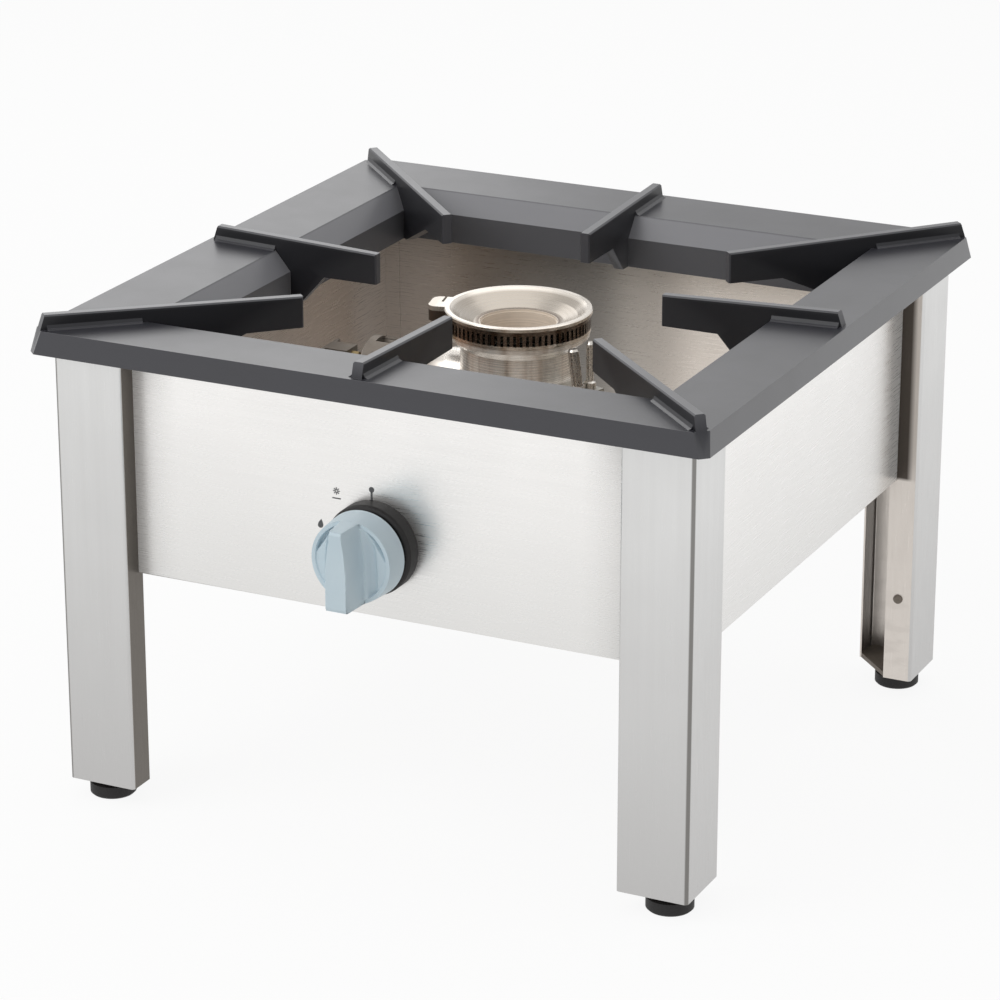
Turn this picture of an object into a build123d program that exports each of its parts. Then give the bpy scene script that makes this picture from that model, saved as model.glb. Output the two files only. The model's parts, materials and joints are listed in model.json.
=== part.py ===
from build123d import *

import os
from math import cos, radians, sin, sqrt, tan

os.makedirs("parts", exist_ok=True)

# Stock pot range, in millimetres. +Z up, +X to the right, +Y to the rear.
# The origin is on the floor, under the burner's axis.

# ---------------------------------------------------------------- driving sizes
overall_height = 415.0        # floor to the highest point of the pan support's fingers

# body
rim_overhang = 15.5           # the pan support stands out this far over the leg faces
leg_face = 60.0               # width of each outward face of a leg
leg_return = 25.0             # depth of a leg's return flange
leg_sheet = 1.5
leg_bend = 3.0                # outer bend radius
foot_show = 17.0              # floor to the bottom of the legs
panel_sheet = 1.2
panel_recess = 19.0           # panels stand this far behind the leg faces
panel_drop = 184.0            # panel's lower edge below the pan support's rim
panel_lip = 18.0              # folded lips along the top and bottom
panel_end_fold = 15.0
bend_edge = 1.0               # rounded outer edge of a panel's fold

# pan support
grate_width = 580.0
rim_height = 19.0             # outer rim, from its lower edge to the top plate
rim_draft = 3.0               # the rim leans in by this much towards its top
plate_thick = 8.0
plate_fall = 2.0              # the top plate falls this much towards the opening
plate_width = 63.0            # from the rim's top edge to where the slope begins
slope_run = 14.0
slope_fall = 17.0
well_depth = 25.5             # upright wall below the slope
wall_thick = 5.0
finger_thick = 9.0
finger_rise = 12.0            # fingers above the plate, at the rim
finger_fall = 6.0             # fingers are this much lower at their free ends
finger_free_depth = 26.0
middle_reach = 129.0          # free end of a middle finger from the centre
middle_haunch = 32.0          # its lower edge falls over this length before the well
corner_reach = 184.0          # free end of a corner finger from the centre, along the diagonal
corner_haunch = 65.0
finger_root = 10.0            # length of a finger's foot at the well's lower edge
finger_lean = 0.34            # the outer ends lean in by this much per millimetre of height
finger_margin = 2.0           # a middle finger ends this far inside the rim's top edge
finger_edge = 1.2             # chamfer along the fingers' top edges
root_fillet = 4.0             # fillet where a finger stands on the plate
peg_radius = 4.0              # pegs under the plate that locate it on the body
peg_length = 8.0
peg_gap = 1.0                 # radial room round a peg

# feet
foot_inset = 25.0             # foot axis from both leg faces
pad_radius = 19.0
stud_radius = 5.0
stud_length = 44.0
foot_plate_thick = 4.0
plate_corner = 4.0            # clipped corners of a foot plate
foot_nut_flats = 17.0
foot_nut_height = 8.0
thread_gap = 0.1
hole_gap = 0.3                # radial room between a screw or stud and its plain hole
shelf_screw_height = 75.0     # small screw in the leg's return flange, above the leg's bottom
shelf_screw_radius = 2.0
shelf_head_radius = 4.0
shelf_head_height = 2.2

# burner
crown_below = 3.5             # top of the burner crown below the rim's lower edge
crown_radius = 61.0
crown_rim = 3.5               # thickness of its top rim
port_band = 15.5              # height of the band of ports
band_step = 1.5               # the rim stands out this far over the band
port_wall = 6.5
port_count = 72
port_width = 2.4
port_height = 9.0
dish_drop = 12.0              # the dished top falls this far towards the hole
dish_wall = 3.5
rim_flat = 4.5
centre_bore = 31.0            # radius of the central air passage
chimney_wall = 4.5
lug_reach = 74.0
lug_width = 28.0
lug_angle = 13.0              # lug's direction, from straight left towards the front
lug_thick = 13.0
lug_slit = 2.0
spigot_height = 3.0
spigot_wall = 2.5
loose_gap = 0.4               # radial room round a lift-off or turning piece
bowl_radius = 48.0
bowl_wall = 4.0
base_thick = 6.0
base_radius = 42.0
ear_offset = 54.0             # fixing ears of the burner's base
ear_radius = 9.0
horn_radius = 21.0
horn_wall = 4.0
horn_length = 137.0           # from the burner's axis
horn_drop = 67.0              # horn's axis below the crown's top
window_length = 16.0          # primary air windows near the horn's mouth
window_angle = 40.0
window_count = 3
window_margin = 9.0
shutter_wall = 2.0
shutter_length = 30.0
shutter_screw_radius = 2.0
shutter_knob_radius = 5.0
shutter_knob_height = 7.0

# bridge that carries the burner
burner_height = 108.5         # bridge's top face below the crown's top
bridge_width = 100.0
bridge_sheet = 2.0
bridge_flange = 12.0
bridge_tab = 22.0             # tabs that lie on the side panels' lower lips
bridge_tab_inset = 3.0        # tab's end clear of the side panel
screw_radius = 2.5
screw_head_radius = 4.6
screw_head_height = 3.0
screw_grip = 8.0              # screw length below its head

# injector
injector_gap = 3.0            # injector's tip before the horn's mouth
injector_nose_radius = 4.0
injector_nose = 8.0
injector_flats = 13.0
injector_hex = 7.0
jet_radius = 0.9
elbow_side = 20.0
elbow_branch_radius = 7.0
elbow_branch = 12.0
holder_width = 34.0
holder_thick = 3.0
holder_tab = 20.0

# pilot and thermocouple, on one bracket at the right of the burner
bracket_boss = 4.0            # pad on the burner's body behind the bracket
pilot_angle = -22.0           # direction from the burner's axis, in plan
pilot_radius_out = 78.0       # distance of the two probes' line from the burner's axis
probe_spacing = 14.0
bracket_sheet = 2.0
bracket_width = 32.0
shelf_below = 53.0            # the shelf that holds the probes, below the crown's top
bracket_tall = 24.0
bracket_shelf_depth = 14.0
bracket_lip = 5.0
pilot_below = 17.0            # pilot's tip below the crown's top
pilot_lean = 10.0             # the pilot leans in towards the ports
pilot_body_radius = 4.5
pilot_collar_radius = 6.5
pilot_collar = 6.0
thermo_below = 13.0
probe_shank = 9.0             # both probes reach this far below the shelf
thermo_radius = 3.0
thermo_collar_radius = 5.0

# gas tap behind the front panel
tap_above = 59.0              # knob and tap axis above the panel's lower edge
spindle_radius = 4.0
spindle_flat = 1.2            # depth of the flat on the spindle's front part
spindle_collar_radius = 8.0
spindle_collar = 2.0
running_gap = 0.05
push_travel = 4.0             # the knob is pushed in this far to light the burner
push_room = 0.8               # room left at the end of that travel
bonnet_width = 56.0
bonnet_tall = 28.0
bonnet_thick = 4.0
neck_radius = 7.0
neck_reach = 4.0              # bonnet's neck in front of the panel
tap_screw_spacing = 40.0
tap_screw_length = 14.0
tap_body_radius = 18.0
tap_front_bore = 9.5
spring_turns = 3
spring_wire = 0.6             # radius of the spring's wire
plug_length = 32.0
plug_big = 11.0
plug_small = 9.0
plug_tail = 6.0               # body behind the plug
tang_width = 3.6
tang_gap = 0.2
tang_length = 14.0
gas_way = 3.0                 # radius of the gas passages
boss_radius = 10.0
boss_reach = 38.0             # ends of the side bosses from the tap's axis
pilot_boss_radius = 6.0
pilot_boss_reach = 24.0
magnet_radius = 8.0
magnet_length = 34.0
magnet_nut_flats = 20.0
magnet_nut_height = 8.0

# knob and its ring
bezel_radius = 37.0
bezel_bore = 30.0
bezel_thick = 15.0
bezel_round = 3.0
knob_radius = 35.5
knob_skirt = 22.0             # thickness of the knob's disc
knob_taper = 2.5              # the disc is this much smaller in radius at its front
knob_gap = 0.6                # room behind the knob beyond its push travel
grip_width = 19.0
grip_reach = 25.0             # grip bar in front of the disc
grip_length = 66.0
grip_end = 3.0
knob_wall = 3.0
hub_radius = 10.0
hub_bore_depth = 26.0
clip_slot = 1.2
clip_length = 12.0

# pipes
supply_radius = 7.5
supply_wall = 1.2
supply_bend = 34.0
feed_radius = 5.0
feed_wall = 1.0
feed_bend = 22.0
pilot_pipe_radius = 2.0
pilot_pipe_wall = 0.6
pilot_pipe_bend = 12.0
lead_radius = 1.3
lead_bend = 10.0
nut_length = 13.0
supply_nut_flats = 24.0
feed_nut_flats = 19.0
pilot_nut_flats = 12.0
small_nut_length = 8.0
supply_offset = 150.0         # gas inlet to the right of the centre

# gas inlet at the rear
inlet_radius = 10.478         # G 1/2 male, major radius
inlet_bore = 7.0
inlet_hex_flats = 27.0
inlet_hex = 8.0
inlet_inside = 14.0           # threaded stub inside the rear panel
washer_radius = 16.0
washer_thick = 1.5
locknut_height = 5.0

# ---------------------------------------------------------------- derived places
half_grate = grate_width / 2
half_body = half_grate - rim_overhang
rim_bottom = overall_height - finger_rise - rim_height
plate_top = rim_bottom + rim_height
seat = plate_top - plate_thick
leg_bottom = foot_show
panel_face = half_body - panel_recess
panel_back = panel_face - panel_sheet
panel_bottom = rim_bottom - panel_drop
opening = half_grate - rim_draft - plate_width
well = opening - slope_run
slope_bottom = plate_top - plate_fall - slope_fall
well_bottom = slope_bottom - well_depth
middle_knee = well - middle_haunch
corner_knee = well * sqrt(2) - corner_haunch
finger_tip_top = overall_height - finger_fall
finger_tip_bottom = finger_tip_top - finger_free_depth
foot_axis = half_body - foot_inset
crown_top = rim_bottom - crown_below
bridge_height = crown_top - burner_height
bracket_shelf = crown_top - shelf_below
pilot_tip = crown_top - pilot_below
thermo_tip = crown_top - thermo_below
tap_height = panel_bottom + tap_above
lip_half = panel_back - panel_lip - bridge_tab_inset
band_radius = crown_radius - band_step
crown_seat = crown_top - crown_rim - port_band
chimney_radius = centre_bore + chimney_wall
chimney_top = crown_seat + spigot_height + 2.0
horn_height = crown_top - horn_drop
lip_top = panel_bottom + panel_sheet
peg_place = panel_face - panel_lip / 2
tab_screw_side = bridge_width / 2 - 15.0
bracket_low = bracket_shelf - bracket_tall
probe_tail = bracket_shelf - bracket_sheet - probe_shank
pipe_level = bridge_height + bridge_flange + 10.0
tab_end = panel_back - bridge_tab_inset
riser = tab_end - bridge_tab
tap_front = -panel_back                     # tap's bonnet lies on the back of the front panel
bonnet_back = tap_front + bonnet_thick
collar_back = bonnet_back + spindle_collar
spring_room = spring_turns * 2 * spring_wire
plug_front = collar_back + spring_room + push_travel + push_room
plug_back = plug_front + plug_length
tap_back = plug_back + plug_tail
pipe_axis = plug_front + plug_length / 2    # depth of the side bosses
bezel_front = -panel_face - bezel_thick
knob_back = bezel_front - push_travel - knob_gap
disc_front = knob_back - knob_skirt
grip_front = disc_front - grip_reach
bore_end = knob_back - hub_bore_depth
inlet_reach = -grip_front                   # the inlet stands out as far as the knob
mouth = -horn_length
injector_tip = mouth - injector_gap
elbow_face = injector_tip - injector_nose - injector_hex
elbow_back = elbow_face - elbow_side
elbow_axis = elbow_face - elbow_side / 2


# ---------------------------------------------------------------- helpers
def block(x0, x1, y0, y1, z0, z1):
    """A box between two corners."""
    size = Box(x1 - x0, y1 - y0, z1 - z0, align=(Align.MIN, Align.MIN, Align.MIN))
    return Pos(x0, y0, z0) * size


def rod(start, axis, radius, length):
    """A cylinder from a point along an axis."""
    body = Cylinder(radius, length, align=(Align.CENTER, Align.CENTER, Align.MIN))
    return Plane(origin=start, z_dir=axis).location * body


def hexagon(start, axis, flats, length):
    """A hexagonal prism from a point along an axis."""
    outline = RegularPolygon(flats / 2, 6, major_radius=False)
    return Plane(origin=start, z_dir=axis).location * extrude(outline, amount=length)


def turned(points, start=(0, 0, 0), axis=(0, 0, 1)):
    """A turned piece: (radius, distance along the axis) points, closed and revolved."""
    outline = Polyline([(r, 0, h) for r, h in points], close=True)
    body = revolve(make_face(outline), Axis.Z, 360)
    return Plane(origin=start, z_dir=axis).location * body


def prism(points, depth0, depth1):
    """An outline in X and Z, extruded along Y between two depths."""
    outline = make_face(Polyline([(x, depth0, z) for x, z in points], close=True))
    return extrude(outline, amount=depth1 - depth0, dir=(0, 1, 0))


def tube(points, bends, radius, wall=0.0):
    """A pipe of straight runs and tangent bends; solid if it has no wall."""
    path = FilletPolyline(*points, radius=bends)
    ring = Circle(radius) - Circle(radius - wall) if wall else Circle(radius)
    return sweep(Plane(origin=path @ 0, z_dir=path % 0) * ring, path=path)


def upright_edges(body, x, y):
    """The edges that run along Z at one place in plan."""
    return [e for e in body.edges().filter_by(Axis.Z)
            if abs(e.center().X - x) < 0.01 and abs(e.center().Y - y) < 0.01]


def quarter_turns(body):
    """The same piece at the four corners or sides."""
    return [Rot(0, 0, turn) * body for turn in (0, 90, 180, 270)]


def save(node, body):
    """Write one node, with its solids joined in a compound if there are several."""
    solids = body.solids() if not isinstance(body, list) else [s for b in body for s in b.solids()]
    export_step(solids[0] if len(solids) == 1 else Compound(children=solids), f"parts/{node}.step")


# ---------------------------------------------------------------- pan support
def rim_side():
    """One side of the frame: rim, plate, slope and well wall, mitred at both ends."""
    shelf = opening - slope_run * plate_thick / slope_fall + 2 * wall_thick
    section = [
        (half_grate, rim_bottom),
        (half_grate - rim_draft, plate_top),
        (opening, plate_top - plate_fall),
        (well, slope_bottom),
        (well, well_bottom),
        (well + wall_thick, well_bottom),
        (well + wall_thick, slope_bottom - wall_thick / 2),
        (shelf, seat),
        (half_grate - rim_draft - wall_thick, seat),
        (half_grate - wall_thick, rim_bottom),
    ]
    bar = prism(section, -half_grate, half_grate)
    reach = half_grate + 1
    mitre = make_face(Polyline((0, 0), (reach, -reach), (reach, reach), close=True))
    return bar & Pos(0, 0, well_bottom - 1) * extrude(mitre, amount=plate_top - well_bottom + 2)


def finger(reach, knee, end, lower_end, wall):
    """A finger along +X: its free end, knee, foot in the well, and outer end on the rim."""
    outline = [
        (reach, finger_tip_bottom),
        (reach, finger_tip_top),
        (end - finger_lean * (overall_height - lower_end), overall_height),
        (end, lower_end),
        (end - wall_thick, lower_end),
        (end - 2 * wall_thick, seat + 1),
        (wall + 3 * wall_thick, seat + 1),
        (wall + wall_thick / 2, seat - 2 * wall_thick),
        (wall + wall_thick / 2, well_bottom),
        (wall - finger_root, well_bottom),
        (knee, finger_tip_bottom),
    ]
    web = prism(outline, -finger_thick / 2, finger_thick / 2)
    top_edges = [e for e in web.edges() if e.center().Z > overall_height - finger_fall
                 and e.length > finger_thick * 3]
    web = chamfer(top_edges, finger_edge)
    free = [e for e in web.edges().filter_by(Axis.Z) if abs(e.center().X - reach) < 0.01]
    return chamfer(free, finger_edge)


def root_strip(start, end, side, stretch):
    """The fillet along one side of a finger where it stands on the sloping plate."""
    edge = side * finger_thick / 2
    low = plate_top - plate_fall
    rise = root_fillet
    profile = Polyline((start, edge, low - rise), (start, edge, low + rise),
                       (start, edge + side * rise * 0.35, low + rise * 0.35),
                       (start, edge + side * rise, low), (start, edge + side * rise, low - rise), close=True)
    slope = plate_fall / (half_grate - rim_draft - opening) / stretch
    run = end - start
    return extrude(make_face(profile), amount=run * sqrt(1 + slope ** 2), dir=(1, 0, slope))


def pan_support():
    """The whole casting: four mitred sides, eight fingers and four locating pegs."""
    sides = quarter_turns(rim_side())
    middle_end = half_grate - rim_draft - finger_margin
    middle = finger(middle_reach, middle_knee, middle_end, plate_top - plate_thick / 2, well)
    corner_end = half_grate * sqrt(2) - finger_thick / 2
    corner = finger(corner_reach, corner_knee, corner_end, rim_bottom, well * sqrt(2))
    for side in (1, -1):
        middle += root_strip(opening, middle_end - root_fillet, side, 1)
        corner += root_strip(opening * sqrt(2), corner_end - 3 * root_fillet, side, sqrt(2))
    fingers = quarter_turns(middle) + quarter_turns(Rot(0, 0, 45) * corner)
    peg = rod((peg_place, 0, seat - peg_length), (0, 0, 1), peg_radius, peg_length + plate_thick / 2)
    body = sides[0]
    for piece in sides[1:] + fingers + quarter_turns(peg):
        body += piece
    lean = finger_lean * (overall_height - rim_bottom)
    tip = prism([(corner_end, rim_bottom), (corner_end - lean, overall_height),
                 (corner_end + rim_height, overall_height), (corner_end + rim_height, rim_bottom - 1),
                 (corner_end, rim_bottom - 1)], -rim_height, rim_height)
    for piece in quarter_turns(Rot(0, 0, 45) * tip):
        body -= piece
    return body


# ---------------------------------------------------------------- body
def leg():
    """Front left leg: two outward faces, two return flanges, open at the inner corner."""
    height = seat - leg_bottom
    far, inner = leg_face - leg_sheet, leg_sheet
    bars = (
        (0, leg_face, 0, inner),
        (0, inner, 0, leg_face),
        (far, leg_face, 0, leg_return),
        (0, leg_return, far, leg_face),
    )
    body = block(*bars[0], 0, height)
    for bar in bars[1:]:
        body += block(*bar, 0, height)
    outer = [e for place in ((0, 0), (leg_face, 0), (0, leg_face)) for e in upright_edges(body, *place)]
    body = fillet(outer, leg_bend)
    bends = ((inner, inner), (far, inner), (inner, far))
    body = fillet([e for place in bends for e in upright_edges(body, *place)], leg_bend - leg_sheet)
    # above the panels' lower edge the returns are cut back to the panels' faces
    notch = (panel_bottom - leg_bottom, height + 1)
    body -= block(far - 1, leg_face + 1, panel_recess, leg_return + 1, *notch)
    body -= block(panel_recess, leg_return + 1, far - 1, leg_face + 1, *notch)
    hole = (leg_return / 2 + leg_sheet, far - 1, shelf_screw_height)
    body -= rod(hole, (0, 1, 0), shelf_screw_radius + 0.1, leg_sheet + 2)
    return Pos(-half_body, -half_body, leg_bottom) * body


def shelf_screw():
    """Small pan-head screw in a leg's return flange, head on the leg's open side."""
    x = -half_body + leg_return / 2 + leg_sheet
    face = -half_body + leg_face
    z = leg_bottom + shelf_screw_height
    head = turned([(0, 0), (shelf_head_radius, 0), (shelf_head_radius, shelf_head_height * 0.5),
                   (shelf_head_radius * 0.6, shelf_head_height), (0, shelf_head_height)],
                  (x, face, z), (0, 1, 0))
    return head + rod((x, face, z), (0, -1, 0), shelf_screw_radius, leg_sheet + 6)


def panel(half_width, end_fold_inward):
    """Front panel, or a side panel drawn at the front: face, lips and end folds."""
    front, back = -panel_face, -panel_back
    body = block(-half_width, half_width, front, back, panel_bottom, seat)
    edge = [e for e in body.edges().filter_by(Axis.X)
            if abs(e.center().Y - front) < 0.01 and abs(e.center().Z - panel_bottom) < 0.01]
    body = fillet(edge, bend_edge)
    lip = front + panel_lip
    body += block(-lip_half, lip_half, back - panel_sheet / 2, lip, panel_bottom, lip_top)
    body += block(-lip_half, lip_half, back - panel_sheet / 2, lip, seat - panel_sheet, seat)
    for side in (-1, 1):
        x0, x1 = sorted((side * half_width, side * (half_width - panel_sheet)))
        body += block(x0, x1, back - panel_sheet / 2, front + end_fold_inward, panel_bottom, seat)
    return body - rod((0, -peg_place, seat - 2 * panel_sheet), (0, 0, 1), peg_radius + peg_gap, 20)


def long_panel():
    """Front or rear panel: runs into the legs, with end folds on the legs' side faces."""
    return panel(half_body - leg_sheet, panel_end_fold)


def side_panel():
    """Left or right panel: runs between the backs of the front and rear panels."""
    body = panel(panel_back, panel_end_fold)
    x = tab_screw_side
    for side in (-1, 1):
        body -= rod((side * x, -(tab_end - bridge_tab / 2 + bridge_tab_inset), panel_bottom - 1),
                    (0, 0, 1), screw_radius + hole_gap, panel_sheet + 2)
    return body


def front_panel():
    """Front panel with the tap's neck hole and its two screw holes."""
    body = long_panel()
    body -= rod((0, -panel_face - 1, tap_height), (0, 1, 0), neck_radius + hole_gap, panel_sheet + 2)
    for side in (-1, 1):
        start = (side * tap_screw_spacing / 2, -panel_face - 1, tap_height)
        body -= rod(start, (0, 1, 0), screw_radius + hole_gap, panel_sheet + 2)
    return body


def rear_panel():
    """Rear panel with the gas inlet's hole."""
    body = Rot(0, 0, 180) * long_panel()
    start = (supply_offset, panel_back - 1, tap_height)
    return body - rod(start, (0, 1, 0), inlet_radius + hole_gap, panel_sheet + 2)


# ---------------------------------------------------------------- feet
def foot_plate():
    """Plate that closes a leg's bottom: cut off between the return flanges, clipped at the bends."""
    low, high = leg_sheet, leg_face - leg_sheet
    outline = make_face(Polyline(
        (low + plate_corner, low), (high - plate_corner, low), (high, low + plate_corner),
        (high, leg_return), (leg_return, high), (low + plate_corner, high),
        (low, high - plate_corner), (low, low + plate_corner), close=True))
    body = Pos(-half_body, -half_body, leg_bottom) * extrude(outline, amount=foot_plate_thick)
    start = (-foot_axis, -foot_axis, leg_bottom - 1)
    return body - rod(start, (0, 0, 1), stud_radius + hole_gap, foot_plate_thick + 2)


def foot_nut():
    """Weld nut on the foot plate."""
    base = leg_bottom + foot_plate_thick
    body = hexagon((-foot_axis, -foot_axis, base), (0, 0, 1), foot_nut_flats, foot_nut_height)
    return body - rod((-foot_axis, -foot_axis, base - 1), (0, 0, 1),
                      stud_radius + thread_gap, foot_nut_height + 2)


def foot_pad():
    """Moulded pad: rounded sole, straight side and a narrower shoulder under the leg."""
    sole, side, shoulder = 1.5, foot_show * 0.62, foot_show * 0.78
    neck = pad_radius - 4.0
    body = turned([(0, 0), (pad_radius - sole, 0), (pad_radius, sole), (pad_radius, side),
                   (neck, shoulder), (neck, foot_show), (0, foot_show)], (-foot_axis, -foot_axis, 0))
    return body - rod((-foot_axis, -foot_axis, foot_show / 3), (0, 0, 1), stud_radius, foot_show)


def foot_stud():
    """Threaded stud, moulded into the pad and screwed through the weld nut."""
    tip = 1.0
    base = foot_show / 3
    return turned([(0, base), (stud_radius, base), (stud_radius, base + stud_length - tip),
                   (stud_radius - tip, base + stud_length), (0, base + stud_length)],
                  (-foot_axis, -foot_axis, 0))


# ---------------------------------------------------------------- burner
def burner_bridge():
    """Folded strip from side to side: tabs on the panels' lips, risers, span with upturned flanges."""
    half = bridge_width / 2
    under = bridge_height - bridge_sheet
    body = block(-riser, riser, -half, half, under, bridge_height)
    for side in (-1, 1):
        x0, x1 = sorted((side * riser, side * (riser - bridge_sheet)))
        body += block(x0, x1, -half, half, lip_top, bridge_height)
        t0, t1 = sorted((side * (riser - bridge_sheet), side * tab_end))
        body += block(t0, t1, -half, half, lip_top, lip_top + bridge_sheet)
        y0, y1 = sorted((side * half, side * (half - bridge_sheet)))
        long = riser - 3 * bridge_sheet
        body += block(-long, long, y0, y1, under, bridge_height + bridge_flange)
    edges = [e for e in body.edges().filter_by(Axis.Y)
             if abs(abs(e.center().X) - riser) < 0.01 and abs(e.center().Z - bridge_height) < 0.01]
    body = fillet(edges, bridge_sheet)
    body -= rod((0, 0, under - 1), (0, 0, 1), centre_bore, bridge_sheet + 2)
    for x, y in bridge_screw_places():
        body -= rod((x, y, lip_top - 1), (0, 0, 1), screw_radius + hole_gap, bridge_sheet + 2)
    for x, y in burner_screw_places() + holder_screw_places():
        body -= rod((x, y, under - 1), (0, 0, 1), screw_radius + hole_gap, bridge_sheet + 2)
    return body


def bridge_screw_places():
    """Screws through the bridge's tabs and the side panels' lower lips."""
    x = tab_end - bridge_tab / 2 + bridge_tab_inset
    return [(sx * x, sy * tab_screw_side) for sx in (-1, 1) for sy in (-1, 1)]


def burner_screw_places():
    """Screws through the burner base's ears."""
    return [(sx * ear_offset, 0) for sx in (-1, 1)]


def holder_screw_places():
    """Screws through the injector holder's foot."""
    x = elbow_back - holder_thick - holder_tab / 2
    return [(x, sy * holder_width / 4) for sy in (-1, 1)]


def screw_down(x, y, z):
    """Pan-head screw that enters downwards from a face at z."""
    head = turned([(0, 0), (screw_head_radius, 0), (screw_head_radius, screw_head_height * 0.55),
                   (screw_head_radius * 0.7, screw_head_height), (0, screw_head_height)], (x, y, z))
    slot = block(x - screw_head_radius, x + screw_head_radius, y - 0.6, y + 0.6,
                 z + screw_head_height * 0.6, z + screw_head_height + 1)
    return head - slot + rod((x, y, z), (0, 0, -1), screw_radius, screw_grip)


def horn_windows(radius):
    """Primary air windows round the horn's mouth."""
    x0 = mouth + window_margin
    arc = make_face(Polyline((0, 0), (2 * radius, -2 * radius * tan(radians(window_angle / 2))),
                             (2 * radius, 2 * radius * tan(radians(window_angle / 2))), close=True))
    cutters = []
    for i in range(window_count):
        wedge = Rot(0, 0, i * 360 / window_count) * extrude(arc, amount=window_length)
        cutters.append(Plane(origin=(x0, 0, horn_height), x_dir=(0, 0, 1), z_dir=(1, 0, 0)).location * wedge)
    return cutters


def burner_body():
    """Cast body: base with ears, bowl, central chimney, seat for the crown and mixing horn."""
    floor = bridge_height
    neck = bowl_radius
    seat_edge = band_radius - 1.0
    spigot = band_radius - port_wall - loose_gap
    chamber = bowl_radius - bowl_wall
    body = turned([
        (centre_bore, floor), (base_radius, floor), (base_radius, floor + base_thick),
        (neck, floor + 2 * base_thick), (neck, crown_seat - 3 * bowl_wall),
        (seat_edge, crown_seat - bowl_wall), (seat_edge, crown_seat),
        (spigot, crown_seat), (spigot, crown_seat + spigot_height),
        (spigot - spigot_wall, crown_seat + spigot_height), (spigot - spigot_wall, crown_seat - bowl_wall),
        (chamber, crown_seat - 3 * bowl_wall), (chamber, floor + 3 * base_thick),
        (chimney_radius, floor + 3 * base_thick), (chimney_radius, chimney_top),
        (centre_bore, chimney_top),
    ])
    for x, y in burner_screw_places():
        ear = rod((x, y, floor), (0, 0, 1), ear_radius, base_thick)
        ear += block(min(x, 0), max(x, 0), -ear_radius, ear_radius, floor, floor + base_thick)
        body += ear
    body -= rod((0, 0, floor - 1), (0, 0, 1), centre_bore, base_thick + 2)
    horn = rod((mouth, 0, horn_height), (1, 0, 0), horn_radius, horn_length - chamber + bowl_wall)
    collar = rod((-bowl_radius - 12, 0, horn_height), (1, 0, 0), horn_radius + 3, 16)
    shell = rod((0, 0, floor + 3 * base_thick), (0, 0, 1), chamber, crown_seat - floor)
    body += (horn + collar) - shell
    body -= rod((mouth - 1, 0, horn_height), (1, 0, 0), horn_radius - horn_wall,
                horn_length - chimney_radius - 1)
    for cutter in horn_windows(horn_radius):
        ring = rod((mouth, 0, horn_height), (1, 0, 0), horn_radius + 1, window_length + 2 * window_margin)
        body -= cutter & ring
    for x, y in burner_screw_places():
        body -= rod((x, y, floor - 1), (0, 0, 1), screw_radius + hole_gap, base_thick + 2)
    # boss that takes the pilot bracket's screws
    turn = Rot(0, 0, pilot_angle)
    boss = turn * block(neck - 2 * bowl_wall, neck + bracket_boss, -bracket_width / 2, bracket_width / 2,
                        bracket_low, bracket_shelf)
    body += boss - shell
    for place in bracket_screw_places():
        body -= turn * rod((neck, place[0], place[1]), (1, 0, 0), screw_radius + hole_gap, 10)
    return body


def bracket_screw_places():
    """Screws of the pilot bracket, as (sideways, height)."""
    return [(s * bracket_width / 4, (bracket_low + bracket_shelf) / 2 - 1.0) for s in (-1, 1)]


def burner_crown():
    """Lift-off ring: port band, top rim, dished top with a central hole, and a side lug."""
    wall_in = band_radius - port_wall
    dish_edge = crown_radius - rim_flat
    dish_low = crown_top - dish_drop
    hole = centre_bore + 1.0
    body = turned([
        (wall_in, crown_seat), (band_radius, crown_seat), (band_radius, crown_top - crown_rim),
        (crown_radius, crown_top - crown_rim + 0.5), (crown_radius, crown_top - 0.8),
        (crown_radius - 0.8, crown_top), (dish_edge, crown_top),
        (dish_edge - 8, crown_top - dish_drop * 0.55), (chimney_radius + 1.5, dish_low), (hole, dish_low),
        (hole, chimney_top), (chimney_radius + 1.0, chimney_top),
        (chimney_radius + 2.0, dish_low - dish_wall),
        (dish_edge - 9, crown_top - dish_drop * 0.55 - dish_wall), (wall_in, crown_top - crown_rim - 1.5),
    ])
    port = block(wall_in - 1, crown_radius + 1, -port_width / 2, port_width / 2,
                 crown_seat + 3.0, crown_seat + 3.0 + port_height)
    ports = Compound(children=[Rot(0, 0, (i + 0.5) * 360 / port_count) * port for i in range(port_count)])
    body -= ports
    lug = block(-lug_reach, -band_radius + port_wall / 2, -lug_width / 2, lug_width / 2,
                crown_top - lug_thick, crown_top)
    ends = [e for side in (-1, 1) for e in upright_edges(lug, -lug_reach, side * lug_width / 2)]
    lug = fillet(ends, lug_width / 4)
    lug -= rod((0, 0, crown_seat), (0, 0, 1), dish_edge, crown_top)
    lug -= block(-crown_radius - 2 * lug_slit, -crown_radius - lug_slit, 0, lug_width,
                 crown_top - lug_thick - 1, crown_top + 1)
    return body + Rot(0, 0, lug_angle) * lug


def air_shutter():
    """Ring that turns on the horn and opens or closes the air windows."""
    inner = horn_radius + loose_gap
    x0 = mouth + window_margin + window_length / 2 - shutter_length / 2
    axis = (1, 0, 0)
    body = rod((x0, 0, horn_height), axis, inner + shutter_wall, shutter_length)
    body -= rod((x0 - 1, 0, horn_height), axis, inner, shutter_length + 2)
    for cutter in horn_windows(horn_radius):
        body -= cutter
    top = shutter_screw_start()
    return body - rod(top, shutter_screw_axis(), shutter_screw_radius, 2 * shutter_wall + 4)


def shutter_screw_axis():
    """Direction of the shutter's locking screw: between two windows, towards the front."""
    turn = radians(180.0 / window_count)
    return (0, -sin(turn), cos(turn))


def shutter_screw_start():
    """Inner end of the locking screw, just clear of the horn."""
    reach = horn_radius + loose_gap
    axis = shutter_screw_axis()
    x = mouth + window_margin + window_length / 2
    return (x, axis[1] * reach, horn_height + axis[2] * reach)


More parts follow.
